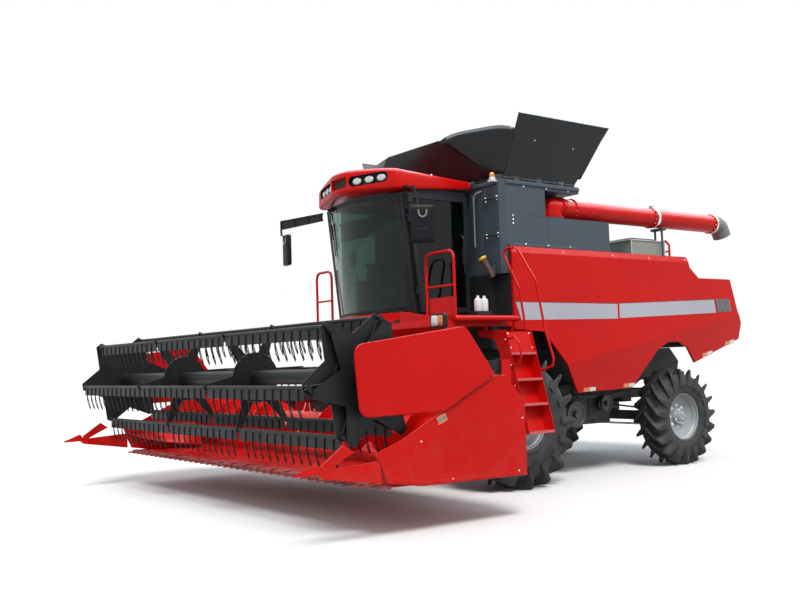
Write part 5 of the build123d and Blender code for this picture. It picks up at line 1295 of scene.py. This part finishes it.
form = Form()
for a in (-1.085, -1.320, -2.950, -4.350):
    for t in around(14, 0.5):
        spot = place(a + 0.001, TUBE_Y + 0.143 * math.cos(t), TUBE_Z + 0.143 * math.sin(t))
        form.bolt(spot, (1, 0, 0), 0.007, washer=False)
form.done("unloader_bolts", "unloader", "bright_steel", ZINC)
form = Form()
for a in (-1.090, -1.120):
    band(form, place(a, TUBE_Y, TUBE_Z), (1, 0, 0), 0.012, TUBE_R - 0.01, TUBE_R + 0.018)
band(form, place(-0.95, TUBE_Y, 3.43), (0, 0, 1), 0.02, 0.13, 0.150)
form.done("unloader_rings", "unloader", "body_red", smooth=40)
form = Form()
band(form, place(-3.03, TUBE_Y, TUBE_Z), (1, 0, 0), 0.022, TUBE_R + 0.001, TUBE_R + 0.008)
form.box((-3.055, TUBE_Y - 0.03, TUBE_Z + TUBE_R + 0.006), (-3.005, TUBE_Y + 0.03, TUBE_Z + TUBE_R + 0.045))
band(form, place(-4.405, TUBE_Y, TUBE_Z), (1, 0, 0), 0.015, TUBE_R + 0.002, TUBE_R + 0.012)
form.done("unloader_strap", "unloader", "bright_steel", ZINC, smooth=40)
form = Form()
spout_start, spout_end = (-4.49, 3.52), (-4.608, 3.48)
for t in (0.15, 0.45, 0.75):
    a, z = [first + (last - first) * t for first, last in zip(spout_start, spout_end)]
    spot = place(a, TUBE_Y, z)
    band(form, spot, (-0.95, 0, -0.32), 0.008, 0.130, 0.1385)
form.done("spout_ribs", "unloader", "spout_rubber", smooth=40)

# ---------------------------------------------------------------- engine deck
form = Form()
form.box((-3.302, 0.562, 2.91), (-2.578, 1.182, 3.185))
form.box((-3.202, 0.638, 3.19), (-2.678, 1.102, 3.237))
form.done("deck_box_panels", "root", "tank_grey", PALE_GREEN, bevel=0.006, smooth=0)
form = Form()
low, high = (-3.306, 0.558, 2.905), (-2.574, 1.186, 3.192)  # corners of the box that the edges frame
for y in (low[1], high[1]):
    for z in (low[2], high[2]):
        form.rod([(low[0], y, z), (high[0], y, z)], 0.011, 6)
    for a in (low[0], high[0]):
        form.rod([(a, y, low[2]), (a, y, high[2])], 0.011, 6)
for a in (low[0], high[0]):
    for z in (low[2], high[2]):
        form.rod([(a, low[1], z), (a, high[1], z)], 0.011, 6)
form.done("deck_box_edges", "root", "lamp_lens", CREAM, smooth=40)
form = Form()
form.turn([(0, 0), (0, 0.10), (0.02, 0.11), (0.22, 0.11), (0.25, 0.09), (0.26, 0.05), (0.26, 0)],
          place(-3.42, 0.85, 2.93), (0, 0, 1), 28)
form.turn([(0, 0), (0, 0.05), (0.16, 0.05), (0.17, 0.03), (0.17, 0)], place(-3.42, 1.05, 2.93), (0, 0, 1), 20)
form.rod([(-3.42, 0.85, 3.17), (-3.42, 0.85, 3.23), (-3.42, 0.60, 3.23), (-3.42, 0.60, 2.95)],
         0.025, 12, corner=0.06)
form.box((-3.44, 0.30, 2.905), (-3.25, 0.52, 3.12))
form.done("deck_filters", "root", "chassis_grey", MATERIALS["tank_grey"], bevel=0.003, smooth=40)
for hand, side in SIDES:
    form = Form()
    for a, z in ((-0.05, 2.905), (-0.9, 2.905), (-1.85, 2.905), (-2.6, 2.905), (-3.4, 2.905)):
        form.bolt(on_skin(a, z, side), (0, side * 0.95, 0.3), 0.007)
    form.done(f"panel_bolts_{hand}", "root", "bright_steel", ZINC)

# ---------------------------------------------------------------- underbody
for hand, side in SIDES:
    form = Form()
    hopper = [(-0.90, 1.20), (-2.22, 1.20), (-2.22, 0.96), (-1.95, 0.74), (-1.60, 0.70), (-1.30, 0.74),
              (-0.98, 0.95)]
    form.prism([place(a, side * 0.585, z) for a, z in hopper], (0, side * 0.46, 0))
    for a in (-1.1, -1.4, -1.7, -2.0):
        form.plate([(a, side * 1.045, 0.78), (a - 0.02, side * 1.045, 0.78), (a - 0.02, side * 1.045, 1.18),
                    (a, side * 1.045, 1.18)], (0, side * 0.012, 0))
    form.box((-0.90, side * 1.05, 1.00), (-2.50, side * 1.09, 1.05))
    form.box((-1.05, side * 0.60, 0.645), (-2.20, side * 0.98, 0.92))
    form.box((-2.20, side * 0.30, 0.660), (-2.60, side * 0.58, 1.04))
    form.done(f"shoe_housing_{hand}", "root", "chassis_grey", bevel=0.004, smooth=0)
    form = Form()
    for a, z, radius in ((-1.346, 0.800, 0.170), (-1.95, 0.92, 0.110), (-2.05, 1.30, 0.130)):
        hub = place(a, side * 1.10, z)
        form.turn([(0, 0), (0, radius * 0.30), (0.015, radius * 0.32), (0.020, radius * 0.80),
                   (-0.005, radius * 0.86), (-0.005, radius), (0.008, radius), (0.018, radius * 0.93),
                   (0.038, radius * 0.93), (0.048, radius), (0.060, radius), (0.060, radius * 0.86),
                   (0.045, radius * 0.80), (0.040, radius * 0.32), (0.075, radius * 0.28),
                   (0.080, radius * 0.16), (0.080, 0)], hub, (0, side, 0), 40)
        for t in around(5):
            form.bolt(hub + upright(t, radius * 0.22) + Vector((0, side * 0.076, 0)), (0, side, 0), 0.008)
    form.done(f"drive_pulleys_{hand}", "root", "chassis_grey", DARK_STEEL, smooth=35)
    form = Form()
    path = []
    for a, z, radius, start, end in ((-1.346, 0.800, 0.162, -78, 60), (-2.05, 1.30, 0.123, 60, 165),
                                     (-1.95, 0.92, 0.104, 165, 282)):
        path += arc(place(a, side * 1.128, z), radius, start, end, 10)
    form.tube(path, 0.009, 6, closed=True)
    form.done(f"drive_belt_{hand}", "root", "tyre", HOSE, smooth=50)
    form = Form()
    form.rod([(-2.62, side * 0.30, 0.98), (-2.70, side * 0.62, 0.86), (-3.06, side * 0.76, 0.80)],
             0.013, 10, corner=0.1)
    form.rod([(0.02, side * 0.42, 1.20), (0.28, side * 0.46, 1.10), (0.30, side * 0.36, 0.72)],
             0.012, 10, corner=0.1)
    form.done(f"hydraulic_pipes_{hand}", "root", "tyre", HOSE, smooth=60)

# ---------------------------------------------------------------- studio and camera
SKY = (0.90, 0.95, 1.0)
PANEL_RADIANCE = 7
CAMERA_AT = Vector((8.4405, 9.9465, 1.558))
YAW, PITCH_UP, ROLL = (math.radians(a) for a in (233.28, 3.77, -1.81))


def seen_straight(tree):
    """Socket that is 1 for what the camera sees straight, in a reflection or through glass."""
    light = tree.nodes.new("ShaderNodeLightPath")
    seen = light.outputs["Is Camera Ray"]
    for kind in ("Is Glossy Ray", "Is Transmission Ray"):
        most = tree.nodes.new("ShaderNodeMath")
        most.operation = "MAXIMUM"
        tree.links.new(seen, most.inputs[0])
        tree.links.new(light.outputs[kind], most.inputs[1])
        seen = most.outputs["Value"]
    return seen


def studio():
    """White floor that keeps the shadow, soft sky, and a broad sun from the front left."""
    shader = Shader("studio floor", (0.30, 0.30, 0.30), 0.9)
    shader.set("Specular IOR Level", 0.0)
    shader.tint(seen_straight(shader.tree), (0.93, 0.93, 0.93))
    bpy.ops.mesh.primitive_plane_add(size=240, location=(0, 0, -0.001))
    floor = bpy.context.object
    floor.name = "studio_floor"
    floor.data.materials.append(shader.material)
    world = bpy.data.worlds.new("studio sky")
    bpy.context.scene.world = world
    world.use_nodes = True
    tree = world.node_tree
    tree.nodes.clear()
    mix = tree.nodes.new("ShaderNodeMixShader")
    tree.links.new(seen_straight(tree), mix.inputs[0])
    for socket, colour, strength in ((1, SKY, 0.72), (2, (1, 1, 1), 1.0)):
        background = tree.nodes.new("ShaderNodeBackground")
        background.inputs["Color"].default_value = (*colour, 1)
        background.inputs["Strength"].default_value = strength
        tree.links.new(background.outputs[0], mix.inputs[socket])
    output = tree.nodes.new("ShaderNodeOutputWorld")
    tree.links.new(mix.outputs[0], output.inputs["Surface"])
    sun = bpy.data.lights.new("sun", "SUN")
    sun.energy = 2.3
    sun.angle = math.radians(20)
    sun.color = (1.0, 0.98, 0.95)
    lamp = bpy.data.objects.new("sun", sun)
    bpy.context.scene.collection.objects.link(lamp)
    lamp.rotation_euler = Vector((0.30, 0.62, 0.95)).to_track_quat("Z", "Y").to_euler()
    panel = bpy.data.lights.new("overhead panel", "AREA")
    panel.shape = "RECTANGLE"
    panel.size, panel.size_y = 24, 16
    panel.energy = PANEL_RADIANCE * math.pi * panel.size * panel.size_y
    panel.color = (0.80, 0.90, 1.0)
    overhead = bpy.data.objects.new("overhead panel", panel)
    bpy.context.scene.collection.objects.link(overhead)
    overhead.location = (-4, 2, 11)
    overhead.visible_diffuse = False
    overhead.visible_camera = False
    overhead.visible_transmission = False


def set_camera():
    """The photographer's place: front left of the machine, at eye height, looking a little up."""
    look = Vector((math.cos(PITCH_UP) * math.cos(YAW), math.cos(PITCH_UP) * math.sin(YAW),
                   math.sin(PITCH_UP)))
    right = look.cross(Vector((0, 0, 1))).normalized()
    up = right.cross(look)
    x_axis = right * math.cos(ROLL) + up * math.sin(ROLL)
    y_axis = up * math.cos(ROLL) - right * math.sin(ROLL)
    data = bpy.data.cameras.new("camera")
    data.lens = 42.87
    data.sensor_width = 36
    data.clip_end = 400
    camera = bpy.data.objects.new("camera", data)
    bpy.context.scene.collection.objects.link(camera)
    turned = Matrix((x_axis, y_axis, -look)).transposed().to_4x4()
    camera.matrix_world = Matrix.Translation(CAMERA_AT) @ turned
    bpy.context.scene.camera = camera


studio()
set_camera()
bpy.context.scene.view_settings.view_transform = "Standard"
